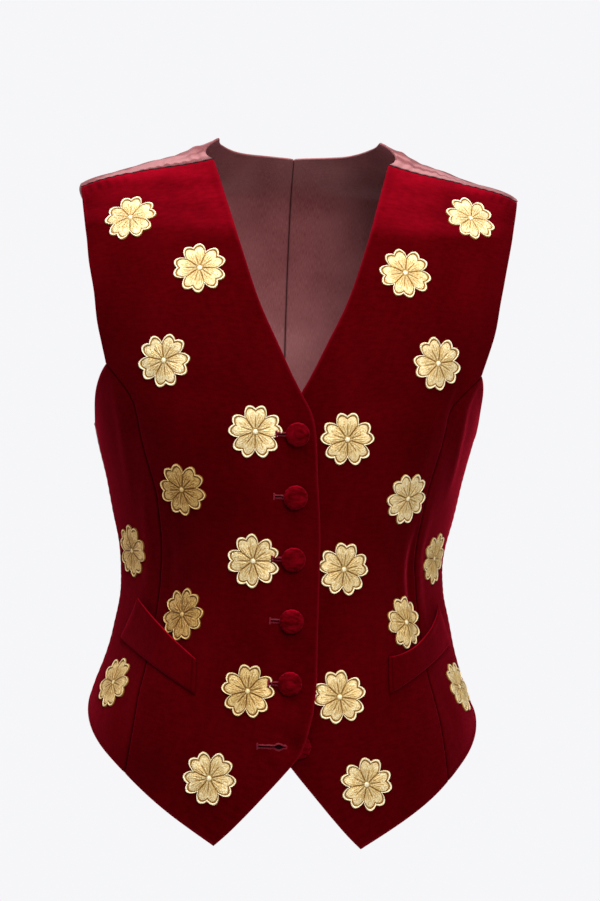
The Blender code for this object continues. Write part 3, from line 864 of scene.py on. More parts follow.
def satin(name, gloss):
    """Wine satin, with long floating threads and soft wrinkles. gloss is its specular level."""
    material, n = new_material(name)
    at = n.position()
    floats = n.noise(n.stretch(n.attribute("weave_mm"), 3.4, 0.22, 1), 1.0, 2.0, 0.6)
    tone = n.weighted((floats, 0.6), (n.noise(at, 14.0), 0.5))
    color = n.mix(n.range(tone, 0.3, 0.8), SATIN_DEEP, SATIN_LIT)
    # Painted highlights and painted shade in long bands over the shoulder's upward faces, for shining
    # crease ridges and shaded hollows.
    upward = n.upward(0.42, 0.78)
    creases = n.noise(n.stretch(at, 0.06, 1, 0.12), 150.0, 1.0, 0.4)
    painted_highlights = n.times(upward, n.range(creases, 0.46, 0.62))
    painted_hollow_shade = n.times(upward, n.range(creases, 0.46, 0.34, 0.0, 0.25))
    color = n.mix(painted_hollow_shade, n.mix(painted_highlights, color, SATIN_PAINTED_HIGHLIGHT), SATIN_DEEP)
    # Painted shade down in the seams, which are also rougher there.
    painted_seam_light = n.range(n.attribute("seam", "Fac"), 0.0, 1.0)
    wrinkles = n.noise(n.stretch(at, 1, 1, 0.35), 60.0)
    n.surface({
        "Base Color": n.mix(painted_seam_light, color, SATIN_PAINTED_SEAM_SHADE),
        "Roughness": n.plus(n.range(floats, 0.2, 0.8, 0.38, 0.28), n.times(painted_seam_light, 0.5)),
        "Specular IOR Level": gloss,
        "Specular Tint": SATIN_SPECULAR,
        "Sheen Weight": 0.35,
        "Sheen Roughness": 0.35,
        "Sheen Tint": SATIN_SHEEN,
        "Normal": n.bump(floats, 0.25, 0.0002, n.bump(wrinkles, 0.35, 0.002)),
    })
    return material


# Thread colours by tone, from the shade between stitches to a lit crest.
GOLD_TONES = (
    (0.0, (0.17, 0.060, 0.006)),
    (0.35, (0.43, 0.235, 0.050)),
    (0.7, (0.72, 0.545, 0.235)),
    (1.0, (0.93, 0.87, 0.66)),
)


def gold_thread():
    """Silky gold embroidery. Its threads follow the stitch attribute: run, row and tone."""
    material, n = new_material("gold_thread")
    stitch = n.attribute("stitch")
    _, row, tone = n.split(stitch)
    thread = n.math("SINE", n.times(row, 2 * math.pi))
    fine = n.weighted(
        (n.range(thread, -1.0, 1.0), 0.3),
        (n.noise(n.stretch(stitch, 0.9, 1.1, 0.2), 1.0, 3.0, 0.65), 0.4),
        (n.noise(n.position(), 700.0, 2.0, 0.6), 0.5),
    )
    shift = n.range(fine, 0.25, 0.95, -0.28, 0.24)
    tones = n.add("ShaderNodeValToRGB", {"Fac": n.plus(tone, shift)})
    elements = tones.color_ramp.elements
    while len(elements) < len(GOLD_TONES):
        elements.new(0.5)
    for element, (place, color) in zip(elements, GOLD_TONES):
        element.position = place
        element.color = (*color, 1)
    n.surface({
        "Base Color": tones.outputs["Color"],
        "Roughness": n.range(fine, 0.2, 0.9, 0.56, 0.42),
        "Metallic": 0.3,
        "Specular IOR Level": 0.3,
        "Normal": n.bump(fine, 0.7, 0.0005),
    })
    return material


TWIST_COLORS = ((0.07, 0.002, 0.007), (0.18, 0.008, 0.018))
SLIT_PAINTED_SHADE = ((0.006, 0.0012, 0.002), (0.022, 0.004, 0.007))


def silk_thread():
    """Claret buttonhole twist, a little lighter and shinier than the velvet."""
    material, n = new_material("claret_twist")
    vary = n.noise(n.position(), 900.0, 2.0)
    n.surface({
        "Base Color": n.mix(n.range(vary, 0.3, 0.7), *TWIST_COLORS),
        "Roughness": 0.55,
        "Specular IOR Level": 0.08,
        "Normal": n.bump(vary, 0.3, 0.0002),
    })
    return material


def slit_shade():
    """Cut cloth down inside a buttonhole, painted near black as the shade between its stitches."""
    material, n = new_material("buttonhole_painted_shade")
    vary = n.noise(n.position(), 1200.0, 2.0)
    n.surface({
        "Base Color": n.mix(vary, *SLIT_PAINTED_SHADE),
        "Roughness": 0.95,
        "Specular IOR Level": 0.0,
    })
    return material


# ---- placing things on the cloth
# wrap() starts from this radius of the form and corrects its guess this many times.
WRAP_RADIUS = 150
WRAP_STEPS = 7


def frame_on(side, from_centre, drop):
    """The origin and the axes, across, up and away, of a place on the cloth."""
    turn = turn_at(from_centre, drop)
    away = outward(turn, np.asarray(drop, float)) * np.array([side, 1, 1])
    across = np.cross([0, 0, 1], away)
    across /= np.linalg.norm(across)
    return cloth(side, turn, drop, CLOTH), across, np.cross(away, across), away


def wrap(side, from_centre, drop, across, up):
    """Turns and drops of the cloth's points that lie across and up from a place on it."""
    origin, right, top, _ = frame_on(side, from_centre, drop)
    turn = turn_at(from_centre, drop) + side * across / WRAP_RADIUS
    down = drop - up
    for _ in range(WRAP_STEPS):
        point = cloth(side, turn, down, CLOTH)
        by_turn = (cloth(side, turn + SMALL_TURN, down, CLOTH) - point) / SMALL_TURN
        by_drop = (cloth(side, turn, down + SMALL_DROP, CLOTH) - point) / SMALL_DROP
        miss_right = (point - origin) @ right - across
        miss_top = (point - origin) @ top - up
        a, b = by_turn @ right, by_drop @ right
        c, d = by_turn @ top, by_drop @ top
        size = a * d - b * c
        turn = turn - (d * miss_right - b * miss_top) / size
        down = down - (a * miss_top - c * miss_right) / size
    return turn, down


# ---- embroidered flowers
PETALS = 5
# A flower's outline, as shares of its radius: the notch between petals, and the dip between the two
# lobes of a petal. CREST is where a lobe is highest, across half a petal.
NOTCH = 0.67
DIP = 0.855
CREST = 0.45
DIP_ROUNDNESS = 1.9
NOTCH_ROUNDNESS = 1.75
FLOWER_STEPS = 220
# The border cord of a flower, from the outline inward. Columns: distance from the outline and
# height above the velvet in mm, then tone from 0 in the shade to 1 on the crest.
BORDER_RINGS = (
    (0.0, -0.3, 0.1),
    (0.05, 0.4, 0.15),
    (0.28, 0.95, 0.3),
    (0.55, 1.35, 0.75),
    (0.95, 1.5, 1.0),
    (1.4, 1.45, 1.0),
    (1.8, 1.2, 0.85),
    (2.1, 0.7, 0.3),
    (2.4, 0.35, 0.08),
    (2.95, 0.32, 0.08),
    (3.3, 0.55, 0.4),
    (3.7, 0.85, 0.75),
)
FILL_RINGS = 28
FILL_HEIGHT = 0.85
BEAD_RADIUS = 2.2
BEAD_RISE = 1.1
# Lines between and along the petals. Columns: place across half a petal from 0 at its middle to
# 1 at its side, depth, half width in mm, and how far from the centre it starts, is full and ends.
PETAL_LINES = (
    (0.0, 0.32, 0.62, 2.6, 4.5, 14.0),
    (1.0, 0.45, 0.7, 2.2, 4.5, 18.0),
    (0.52, 0.22, 0.5, 4.5, 7.0, 14.5),
    (0.76, 0.16, 0.45, 8.0, 10.0, 16.0),
    (0.28, 0.16, 0.45, 9.0, 11.0, 17.5),
)
LINE_FADE = 3.0
# How much darker the tone is per mm of a line's depth, a painted shade down the lines.
LINE_TONE = 1.6
MOUND = 0.35
MOUND_POWER = 0.7
STITCH_ROUGHNESS = 0.1
RING_POWER = 0.9
# The outline's unevenness: waves round the flower, and the most share of the radius that each adds.
WOBBLE_WAVES = (1, 2, 3, 5)
WOBBLE = 0.006
WOBBLE_TURN = 6.3
# The groove round the bead: its gap, half width and depth in mm, and how much darker it is, a painted
# shade in the groove.
MOAT_GAP = 0.5
MOAT_WIDTH = 0.6
MOAT_DEPTH = 0.3
MOAT_TONE = 0.35
# The fill's tone, and how much it rises per mm of a stitch's random height: painted highlight on high
# stitches, painted shade on low ones.
FILL_TONE = 0.74
ROUGH_TONE = 1.3
# A bead's tone at its foot, and how much lighter its crown is, as a painted highlight.
BEAD_TONES = (0.6, 0.4)
# How high a bead's foot stands, and the same at its very centre.
BEAD_BASE = 0.5
CENTRE_BASE = 0.6
# The tone at the bead's very top, a painted highlight.
CENTRE_TONE = 0.9
# The threads' spacing in mm over the border, the fill and the bead.
BORDER_PITCH = 0.55
FILL_PITCH = 0.9
BEAD_PITCH = 0.7
# How far along its threads a flower's pattern may start.
LONGEST_SHIFT = 40
CUT_STAND = 0.2
# Half the height that a flower leaves free for a buttonhole, and how far past the slit's far end its
# bar tack is.
HOLE_CUT = 1.3
BAR_BEYOND = 0.5


def place_in_petal(angle):
    """0 along a petal's middle and 1 along the line between two petals."""
    half = math.pi / PETALS
    return np.abs(np.mod(angle + half, 2 * half) - half) / half


def outline_share(angle):
    """The outline's distance from the centre at angles from a petal's middle, as a share."""
    lobe = place_in_petal(angle)
    towards_dip = np.clip(1 - lobe / CREST, 0, 1)
    towards_notch = np.clip((lobe - CREST) / (1 - CREST), 0, 1)
    dip = (1 - DIP) * towards_dip**DIP_ROUNDNESS
    return 1 - dip - (1 - NOTCH) * towards_notch**NOTCH_ROUNDNESS


def petal_lines(angle, radius):
    """How deep the lines between and along the petals are, over the fill of a flower."""
    lobe = place_in_petal(angle)
    half = math.pi / PETALS
    depth = np.zeros_like(radius)
    for place, rise, width, start, full, end in PETAL_LINES:
        away = np.abs(lobe - place) * half * radius
        shown = ramp(radius, start, full) * ramp(radius, end, end - LINE_FADE)
        depth = np.maximum(depth, rise * np.exp(-((away / width) ** 2)) * shown)
    return depth


def once(grid):
    """A grid's values ring by ring, with the last ring, which is all one point, given once."""
    return np.concatenate([grid[:-1].reshape(-1, *grid.shape[2:]), grid[-1, :1]])


def flower_rings(angle, rng):
    """Radius, height and tone of a flower's rings, from its outline to its centre."""
    wobble = 0
    for k in WOBBLE_WAVES:
        most = rng.uniform(-WOBBLE, WOBBLE)
        wobble = wobble + most * np.sin(k * angle + rng.uniform(0, WOBBLE_TURN))
    outline = FLOWER_RADIUS * (outline_share(angle) + wobble)
    level = np.full_like(angle, 1.0)
    rings = [(outline - inset, level * height, level * tone) for inset, height, tone in BORDER_RINGS]
    mounds = MOUND * np.sin(np.pi * place_in_petal(angle)) ** MOUND_POWER
    for share in np.linspace(1, 0, FILL_RINGS + 1)[1:-1] ** RING_POWER:
        radius = (outline - BORDER_RINGS[-1][0]) * share
        depth = petal_lines(angle, radius)
        bead = BEAD_RISE * np.sqrt(np.clip(1 - (radius / BEAD_RADIUS) ** 2, 0, 1))
        moat = np.exp(-(((radius - BEAD_RADIUS - MOAT_GAP) / MOAT_WIDTH) ** 2))
        rough = rng.normal(0, STITCH_ROUGHNESS, angle.shape)
        crown = FILL_HEIGHT + mounds * math.sin(math.pi * share) + rough * (radius > BEAD_RADIUS)
        height = np.maximum(crown - depth - MOAT_DEPTH * moat, BEAD_BASE * (bead > 0) + bead)
        # Painted shade down the lines and the moat, painted highlight on higher stitches and on the
        # bead's crown.
        on_fill = FILL_TONE - LINE_TONE * depth - MOAT_TONE * moat + ROUGH_TONE * rough
        on_bead = BEAD_TONES[0] + BEAD_TONES[1] * bead / BEAD_RISE
        rings.append((radius, height, np.where(bead > 0, on_bead, on_fill)))
    rings.append((0 * angle, level * (CENTRE_BASE + BEAD_RISE), level * CENTRE_TONE))
    return np.moveaxis(np.array(rings), 1, 0)


def make_flower(name, side, panel, from_centre, drop, spin, painted_light_shift, material):
    angle = np.linspace(0, 2 * np.pi, FLOWER_STEPS, endpoint=False)
    rng = np.random.default_rng(int(from_centre + 7 * drop))
    radius, height, tone = flower_rings(angle, rng)
    around = angle[None, :] + math.radians(spin)
    across, up = radius * np.cos(around), radius * np.sin(around)
    turn, down = wrap(side, from_centre, drop, across, up)
    verts = once(worn(side, turn, down, CLOTH + height))
    # The threads cross the border, run outward over the fill and go round the bead.
    on_border = np.arange(len(radius))[:, None] < len(BORDER_RINGS)
    arc = angle[None, :] * FLOWER_RADIUS
    row = np.where(on_border, arc / BORDER_PITCH, arc / FILL_PITCH)
    row = np.where(radius < BEAD_RADIUS, radius / BEAD_PITCH, row)
    run = radius + LONGEST_SHIFT * rng.random()
    stitch = np.stack([run, row, np.clip(tone, 0, 1) + painted_light_shift], axis=-1)
    rings = len(radius) - 1
    last = (rings - 1) * FLOWER_STEPS
    centre = rings * FLOWER_STEPS
    faces = ring_faces(rings, FLOWER_STEPS).tolist()
    faces += [[last + step, last + (step + 1) % FLOWER_STEPS, centre] for step in range(FLOWER_STEPS)]
    gone = cut_points(side, panel, once(turn), once(down), verts)
    kept = [face for face in faces if not all(gone[i] for i in face)]
    obj = new_piece(name, verts, kept, [material])
    set_vectors(obj.data, "stitch", once(stitch))
    clean(obj)
    return obj


def cut_points(side, panel, turns, drops, points):
    """Marks the points of a flower that its panel's seam and the buttonholes leave out."""
    seam = edge_turn(PRINCESS_SEAM, drops)
    past_seam = (turns > seam) if panel == "centre" else (turns < seam)
    gone = (drops > PRINCESS_SEAM[0][0]) & past_seam
    # Points just past the seam move back to it, so the cut is clean.
    if gone.any():
        points[gone] = worn(side, seam[gone], drops[gone], CLOTH + CUT_STAND)
    if side == RIGHT:
        x, z = points[:, 0], -points[:, 2]
        for number in range(1, BUTTON_COUNT + 1):
            level = np.abs(z - button_drop(number)) < HOLE_CUT
            gone = gone | (level & (x > BUTTON_X - HOLE_FAR - BAR_BEYOND))
    return gone


def clean(obj):
    """Removes what a cut left empty, and turns the whole surface away from the body."""
    bm = bmesh.new()
    bm.from_mesh(obj.data)
    bmesh.ops.dissolve_degenerate(bm, edges=bm.edges, dist=SAME_PLACE)
    loose = [vert for vert in bm.verts if not vert.link_faces]
    bmesh.ops.delete(bm, geom=loose, context="VERTS")
    bm.normal_update()
    total = Vector()
    for face in bm.faces:
        total += face.normal * face.calc_area()
    centre = sum((vert.co for vert in bm.verts), Vector()) / len(bm.verts)
    if total.dot(Vector((centre.x, centre.y, 0))) < 0:
        bmesh.ops.reverse_faces(bm, faces=bm.faces)
    bm.to_mesh(obj.data)
    bm.free()


# ---- covered buttons
BUTTON_STEPS = 72
# From the crown to the back. Columns: share of the radius, share of the rise.
BUTTON_PROFILE = (
    (0.0, 1.0), (0.12, 0.998), (0.25, 0.985), (0.38, 0.962), (0.5, 0.93), (0.61, 0.885),
    (0.71, 0.825), (0.8, 0.745), (0.88, 0.64), (0.94, 0.52), (0.98, 0.39), (1.0, 0.26),
    (0.99, 0.13), (0.955, 0.05), (0.9, 0.01), (0.8, 0.0), (0.5, 0.0),
)
GATHERS = 17
# A second, weaker set of gathers, turned by this much from each button to the next.
MORE_GATHERS = 11
MORE_SHARE = 0.6
MORE_TURN = 2.3
# How much of a gather goes outward, and how much up.
GATHER_OUT = 0.8
GATHER_UP = 0.5
GATHER_DEPTH = 0.16
GATHERS_FROM = 0.72
UNEVEN_RISE = 0.1
MOST_LEAN = 3.5
FREE_SHANK_FOOT = -0.3
# How far apart in the pile the covers of two buttons are cut.
BUTTON_APART = 43.7


def button_drop(number):
    return FIRST_BUTTON_DROP + (number - 1) * BUTTON_PITCH


def make_button(number, material):
    free = number == BUTTON_COUNT
    side = LEFT if free else RIGHT
    from_centre = side * (FREE_BUTTON_X if free else BUTTON_X)
    stand = FREE_BUTTON_STAND if free else BUTTON_STAND
    drop = button_drop(number)
    origin, right, top, away = frame_on(side, from_centre, drop)
    lift = float(relief(side, turn_at(from_centre, drop), np.asarray(drop, float)))
    foot = FREE_SHANK_FOOT if free else -(2 * LAP_STEP)
    profile = [(r * BUTTON_RADIUS, stand + h * BUTTON_RISE) for r, h in BUTTON_PROFILE]
    profile += [(SHANK_RADIUS, stand), (SHANK_RADIUS, foot), (0, foot)]
    angle = np.linspace(0, 2 * np.pi, BUTTON_STEPS, endpoint=False)
    lean = np.radians(np.random.default_rng(number).uniform(-MOST_LEAN, MOST_LEAN, 2))
    more = MORE_SHARE * np.sin(MORE_GATHERS * angle + MORE_TURN * number)
    gathers = np.sin(GATHERS * angle + number) + more
    points = []
    for index, (radius, height) in enumerate(profile):
        share = radius / BUTTON_RADIUS
        on_cover = index < len(BUTTON_PROFILE)
        pull = GATHER_DEPTH * gathers * ramp(share, GATHERS_FROM, 1.0) * on_cover
        uneven = UNEVEN_RISE * np.sin(2 * angle + number) * share * on_cover
        r = radius + pull * GATHER_OUT
        h = height + pull * GATHER_UP + uneven
        tilt = (lean[0] * np.cos(angle) + lean[1] * np.sin(angle)) * radius * on_cover
        place = np.outer(r * np.cos(angle), right) + np.outer(r * np.sin(angle), top)
        points.append(origin + place + np.outer(h + tilt + lift, away))
    points = np.array(points)
    faces = ring_faces(len(points), BUTTON_STEPS).tolist()
    obj = new_piece(f"button_{number}_covered", points.reshape(-1, 3), faces, [material])
    face_outward(obj, merge=True)
    apart = BUTTON_APART * number
    share = np.repeat([r / BUTTON_RADIUS for r, _ in profile], BUTTON_STEPS)
    weave = [((points - origin) @ right).ravel() + apart, ((points - origin) @ top).ravel() - apart]
    set_vectors(obj.data, "weave_mm", np.stack([*weave, share], axis=-1)[: len(obj.data.vertices)])
    return obj


# ---- pocket welts
WELT_LENGTH = 76.0
WELT_HEIGHT = 32.0
WELT_CELL = 1.6
# How the top gapes: the power of its rise up the welt, its share at the inner end, how much more it
# has at the outer end, and the power of that along the welt.
WELT_GAPE = (1.6, 0.35, 1.15, 0.8)
WELT_PUFF = 0.7
# The row of stitches at the inner end: depth, distance from the end and half width in mm.
WELT_STITCHES = (0.45, 3.2, 0.7)
WELT_SUNK = 0.5
WELT_GRAIN_TILT = 35


def sag_shape(share):
    """0 at both ends of a welt and 1 a third of the way in from its outer end."""
    return np.sqrt(share) * (1 - share) * SAG_SCALE


def make_welt(side, materials):
    """A welt, whose rows run from its open top to its stitched bottom, and from its outer end in."""
    across = lines(WELT_LENGTH, WELT_CELL)
    down = lines(WELT_HEIGHT, WELT_CELL)
    s, t = across[None, :], 1 - down[:, None]
    outer_end, inner_end = np.array(WELT_ENDS[side], float)
    corners = [first + (last - first) * s for first, last in zip(outer_end, inner_end)]
    top_x, top_drop, low_x, low_drop = corners
    top_sag, low_sag = WELT_SAGS[side]
    top_drop = top_drop + top_sag * sag_shape(s)
    low_drop = low_drop + low_sag * sag_shape(s)
    drop = low_drop + (top_drop - low_drop) * t
    turn = turn_at(low_x + (top_x - low_x) * t, drop)
    distances = edge_distances(across, down, WELT_LENGTH, WELT_HEIGHT)
    free = (True, False, True, True)
    share, dip, bulk = edge_profile(distances, free)
    up_power, least, further, along_power = WELT_GAPE
    gape = (WELT_TOP_STAND - WELT_BOTTOM_STAND) * t**up_power
    gape = gape * (least + further * (1 - s) ** along_power)
    puff = WELT_PUFF * np.sin(np.pi * np.clip(1 - t, 0, 1)) * np.sin(np.pi * s) ** 0.5
    depth, inset, width = WELT_STITCHES
    stitched = -depth * np.exp(-(((distances[3] - inset) / width) ** 2))
    middle = WELT_THICKNESS / 2
    stand = WELT_BOTTOM_STAND - WELT_SUNK + gape + middle + relief(side, turn, drop)
    raised = middle * share + puff + bulk - 2 * dip + stitched
    outer = cloth(side, turn, drop, stand + raised)
    inner = cloth(side, turn, drop, stand - middle * share)
    flat = flat_coordinates(form(turn, drop))
    tilt = math.radians(WELT_GRAIN_TILT) * side
    u = flat[..., 0] * math.cos(tilt) - flat[..., 1] * math.sin(tilt)
    v = flat[..., 0] * math.sin(tilt) + flat[..., 1] * math.cos(tilt)
    grain = np.stack([u, v, 0 * u], axis=-1)
    # The stitched line gets painted shade, as the seams do.
    shade = np.maximum(painted_seam_shade_and_edge_sheen(distances, free), -stitched)
    name = f"welt_{SIDE_NAMES[side]}_cloth"
    return sheet_mesh(name, outer, inner, share <= 0, materials, grain, shade)


# ---- worked buttonholes
STITCH_PITCH = 0.62
STITCH_REACH = 1.7
STITCH_HEIGHT = 0.6
# Half the slit's width, how far to each side of the shank it gapes, and half its width there.
SLIT_HALF = 0.5
GAPE_HALF = 4.5
GAPE_RISE = 2.0
# Directions in degrees of the points round the slit's near end.
SLIT_END = (80, 60, 40, 20)
BAR_HALF = 3.1
BAR_RADIUS = 0.85
BAR_HEIGHT = 0.95
BAR_WINDINGS = 4.2
BAR_STEPS = (41, 9)
BAR_SUNK = 0.2
# How uneven its threads are: the share that the windings add, and the share of a finer wave.
BAR_UNEVEN = (0.14, 0.05)
# Rows of stitch points from the slit's edge to the stitches' outer ends.
STITCH_ROWS = 7
STITCH_UNEVEN = (0.82, 1.12)
# A stitch's height beside its crest, and how much higher the crest is, as shares.
STITCH_RIDGE = (0.55, 0.45)
MOST_STITCHES = 200
PURL_HEIGHT = 1.15
PURL_PLACE = 0.12
PURL_WIDTH = 0.16
STITCH_SLOPE = 0.8
# How far the first row drops into the slit, and the last one into the cloth.
SLIT_DROP = 1.0
CLOTH_DROP = 0.25
# The holes beside a flower are worked over its embroidery.
RAISED_HOLES = (1, 3, 5)
RAISED = 1.25
RAISED_UP_TO = 0.75
# The solids that cut the holes reach from above the cloth down to this far above its inner face.
HOLE_STEP = 0.5
HOLE_TOP = 5.0
HOLE_FLOOR = 0.35


def hole_place(number):
    """How far from the centre front the shank comes through a buttonhole, numbered from 1."""
    return -BUTTON_X + (FREE_HOLE_SHIFT if number == BUTTON_COUNT else 0)


def keyhole_path(step):
    """Points and outward directions round a slit that gapes at the shank, from its far end."""
    x = np.arange(-HOLE_FAR, HOLE_NEAR, step)
    share = np.clip(x / GAPE_HALF, -1, 1) * np.pi / 2
    rise = GAPE_RISE - SLIT_HALF
    y = SLIT_HALF + rise * np.cos(share) ** 2
    slope = -rise * np.sin(2 * share) * np.pi / 2 / GAPE_HALF
    end = np.radians(SLIT_END)
    x = np.r_[x, HOLE_NEAR + SLIT_HALF * np.cos(end)]
    y = np.r_[y, SLIT_HALF * np.sin(end)]
    tilt = np.r_[np.arctan2(1, -slope), end]
    points = np.stack([x, y], axis=-1)
    away = np.stack([np.cos(tilt), np.sin(tilt)], axis=-1)
    mirror = np.array([1, -1])
    return np.vstack([points, points[::-1] * mirror]), np.vstack([away, away[::-1] * mirror])


def make_buttonhole(number, material):
    drop = button_drop(number)
    from_centre = hole_place(number)
    raised = RAISED if number in RAISED_HOLES else 0.0
    path, direction = keyhole_path(STITCH_PITCH / 4)
    along = np.cumsum(np.r_[0, np.linalg.norm(np.diff(path, axis=0), axis=1)])
    stitch = along / STITCH_PITCH
    spread = np.random.default_rng(10 + number).uniform(*STITCH_UNEVEN, MOST_STITCHES)
    uneven = np.interp(stitch, np.arange(MOST_STITCHES), spread)
    ridge = STITCH_RIDGE[0] + STITCH_RIDGE[1] * np.abs(np.sin(np.pi * stitch))
    rows = []
    for t in np.linspace(0, 1, STITCH_ROWS):
        # A purl stands over the slit's edge, and the stitches slope down to the cloth.
        purl = PURL_HEIGHT * math.exp(-(((t - PURL_PLACE) / PURL_WIDTH) ** 2))
        profile = purl + STITCH_SLOPE * max(0.0, 1 - t) ** 0.5
        height = STITCH_HEIGHT * profile * ridge * uneven - CLOTH_DROP * (t >= 1)
        height = height - SLIT_DROP * (t == 0) + raised * (1 - ramp(t, RAISED_UP_TO, 1.0))
        point = path + direction * (t * STITCH_REACH * uneven[:, None])
        rows.append(np.concatenate([point, height[:, None]], axis=1))
    strip = place_grid(f"buttonhole_{number}_edge", np.array(rows), from_centre, drop, material)
    bar = bar_tack(f"buttonhole_{number}_bar", from_centre, drop, raised, material)
    bpy.context.view_layer.objects.active = strip
    for obj in bpy.context.scene.objects:
        obj.select_set(obj in (strip, bar))
    bpy.ops.object.join()
    strip.name = f"buttonhole_{number}_stitching"
    return strip


def make_slits(material):
    """The solids that cut the buttonholes, from above the over front down to each hole's floor."""
    verts, faces = [], []
    path = keyhole_path(HOLE_STEP)[0]
    count = len(path)
    for number in range(1, BUTTON_COUNT + 1):
        place = (hole_place(number), button_drop(number))
        turn, down = wrap(RIGHT, *place, path[:, 0], path[:, 1])
        first = len(verts)
        for height in (HOLE_TOP, HOLE_FLOOR):
            verts += worn(RIGHT, turn, down, np.full(count, height)).tolist()
        faces += (ring_faces(2, count) + first).tolist()
        for step in range(count // 2):
            ends = (step, step + 1, count - 2 - step, count - 1 - step)
            corners = list(dict.fromkeys(ends))
            if len(corners) > 2:
                faces.append([first + corner for corner in corners])
                faces.append([first + count + corner for corner in corners[::-1]])
    slits = new_piece("slits", verts, faces, [material], smooth=False)
    face_outward(slits)
    return slits


def cut_slits(front, material):
    slits = make_slits(material)
    cut = front.modifiers.new("slits", "BOOLEAN")
    cut.operation = "DIFFERENCE"
    cut.solver = "EXACT"
    cut.material_mode = "TRANSFER"
    cut.object = slits
    bpy.context.view_layer.update()
    graph = bpy.context.evaluated_depsgraph_get()
    mesh = bpy.data.meshes.new_from_object(front.evaluated_get(graph))
    front.modifiers.clear()
    front.data = mesh
    bpy.data.objects.remove(slits)


def place_grid(name, grid, from_centre, drop, material):
    """A grid of local points (across, up, height) set on the over front."""
    across, up, height = np.moveaxis(grid, -1, 0)
    turn, down = wrap(RIGHT, from_centre, drop, across, up)
    points = worn(RIGHT, turn, down, CLOTH + height)
    faces = grid_faces(np.arange(across.size).reshape(across.shape)).tolist()
    obj = new_piece(name, points.reshape(-1, 3), faces, [material])
    clean(obj)
    return obj


def bar_tack(name, from_centre, drop, raised, material):
    """Threads wound across the far end of a buttonhole."""
    s = np.linspace(-1, 1, BAR_STEPS[0])[:, None]
    a = np.linspace(0, np.pi, BAR_STEPS[1])[None, :]
    threads, finer = BAR_UNEVEN
    wound = 1 + threads * np.sin(2 * np.pi * s * BAR_WINDINGS) + finer * np.sin(a * 3 + s * 9)
    across = -HOLE_FAR - BAR_BEYOND + BAR_RADIUS * wound * np.cos(a) + 0 * s
    up = BAR_HALF * s + 0 * a
    height = raised + BAR_HEIGHT * wound * np.sin(a) * (1 - np.abs(s) ** 6) - BAR_SUNK
    return place_grid(name, np.stack([across, up, height], axis=-1), from_centre, drop, material)


# ---- stage, light and camera
FLOOR_Z = -1.42
FLOOR_RADIUS = 3.6
FLOOR_SIDES = 96
FLOOR_COLOR = (0.88, 0.88, 0.89)
# The light of its own that the floor shows the camera.
FLOOR_GLOW = 0.5
CAMERA_TURN = -4.0
CAMERA_ROLL = 1.8
CAMERA_DISTANCE = 3.0
AIM = (0.0093, 0.0, -0.2686)
LENS = 135.9
SENSOR = 36.0
# Columns: name, place, size, power, color.
LIGHTS = (
    ("key", (0.7, -2.35, 1.25), (1.4, 1.2), 64.0, (1.0, 0.98, 0.96)),
    ("top", (-0.2, -0.7, 1.6), (1.8, 1.0), 54.0, (1.0, 0.99, 0.98)),
    ("rim_left", (-2.0, 1.0, -0.2), (0.5, 1.8), 16.0, (1.0, 0.98, 0.98)),
    ("rim_right", (2.2, 0.8, -0.1), (0.5, 1.8), 3.0, (1.0, 0.98, 0.98)),
)
WORLD_COLOR = (0.922, 0.922, 0.94)
WORLD_LIGHT = 0.22


def make_stage():
    mesh = bpy.data.meshes.new("floor")
    bm = bmesh.new()
    bmesh.ops.create_circle(bm, cap_ends=True, radius=FLOOR_RADIUS, segments=FLOOR_SIDES)
    bm.to_mesh(mesh)
    bm.free()
    floor = add_object("floor", mesh)
    floor.location.z = FLOOR_Z
    material, n = new_material("pale_floor")
    seen = n.add("ShaderNodeLightPath").outputs["Is Camera Ray"]
    n.surface({
        "Base Color": FLOOR_COLOR,
        "Roughness": 0.9,
        "Emission Color": WORLD_COLOR,
        "Emission Strength": n.times(seen, FLOOR_GLOW),
    })
    mesh.materials.append(material)


def make_world():
    """A pale backdrop for the camera, which lights the object less than it shows."""
    world = bpy.data.worlds.new("studio")
    world.use_nodes = True
    nodes = world.node_tree.nodes
    n = Nodes(world.node_tree)
    n.fill(nodes["Background"], {"Color": WORLD_COLOR})
    lit = n.add("ShaderNodeBackground", {"Color": WORLD_COLOR, "Strength": WORLD_LIGHT})
    path = n.add("ShaderNodeLightPath").outputs["Is Camera Ray"]
    shown = {0: path, 1: lit.outputs[0], 2: nodes["Background"].outputs[0]}
    mixed = n.add("ShaderNodeMixShader", shown)
    n.fill(nodes["World Output"], {"Surface": mixed.outputs[0]})
    bpy.context.scene.world = world


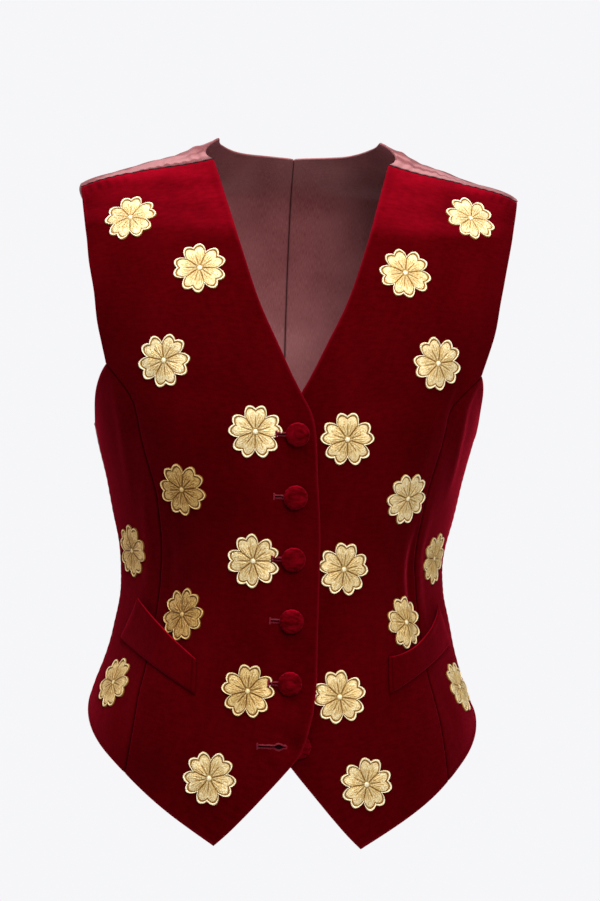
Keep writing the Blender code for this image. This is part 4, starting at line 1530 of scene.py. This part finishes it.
def make_lights():
    for name, place, size, power, color in LIGHTS:
        data = bpy.data.lights.new(name, "AREA")
        data.shape = "RECTANGLE"
        data.size, data.size_y = size
        data.energy = power
        data.color = color
        light = add_object(name, data)
        light.location = place
        light.rotation_euler = (Vector(AIM) - Vector(place)).to_track_quat("-Z", "Y").to_euler()
        light.visible_camera = False


def make_camera():
    turn = math.radians(CAMERA_TURN)
    roll = math.radians(CAMERA_ROLL)
    back = Vector((math.sin(turn), -math.cos(turn), 0))
    up = Vector((0, 0, 1))
    right = up.cross(back)
    rolled_right = right * math.cos(roll) + up * math.sin(roll)
    rolled_up = up * math.cos(roll) - right * math.sin(roll)
    place = Matrix((rolled_right, rolled_up, back)).transposed().to_4x4()
    place.translation = Vector(AIM) + back * CAMERA_DISTANCE
    data = bpy.data.cameras.new("camera")
    data.lens = LENS
    data.sensor_width = SENSOR
    camera = add_object("camera", data)
    camera.matrix_world = place
    bpy.context.scene.camera = camera
    bpy.context.scene.view_settings.view_transform = "Standard"


# ---- the whole
def settle(piece, node=None):
    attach(piece, BODY)
    if node:
        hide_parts(node)


def main():
    make_camera()
    make_world()
    make_lights()
    make_stage()
    velvets = (velvet("claret_velvet", 0.0), velvet_reverse())
    satins = (satin("wine_satin", 0.55), satin("wine_satin_inside", 0.25))
    cover = velvet("button_velvet", 0.3)
    gold = gold_thread()
    twist = silk_thread()
    shade = slit_shade()
    for side, side_name in SIDE_NAMES.items():
        panels = {}
        for kind, looks, slot in (
            ("front_centre", velvets, "velvet"),
            ("front_side", velvets, "velvet"),
            ("back", satins, "satin"),
        ):
            panels[kind] = make_panel(kind, side, looks)
            if kind == "front_centre" and side == RIGHT:
                cut_slits(panels[kind], shade)
            settle(panels[kind], f"{kind}_{side_name}")
        flowers = {"centre": [], "side": []}
        for number, row in enumerate(FLOWERS[side], start=1):
            name = f"flower_{side_name}_{number:02d}"
            flower = make_flower(f"{name}_embroidery", side, *row, gold)
            settle(flower, name)
            flowers[row[0]].append(flower)
        welt = make_welt(side, velvets)
        settle(welt, f"welt_{side_name}")
    for number in range(1, BUTTON_COUNT + 1):
        settle(make_button(number, cover), f"button_{number}")
        settle(make_buttonhole(number, twist))


main()
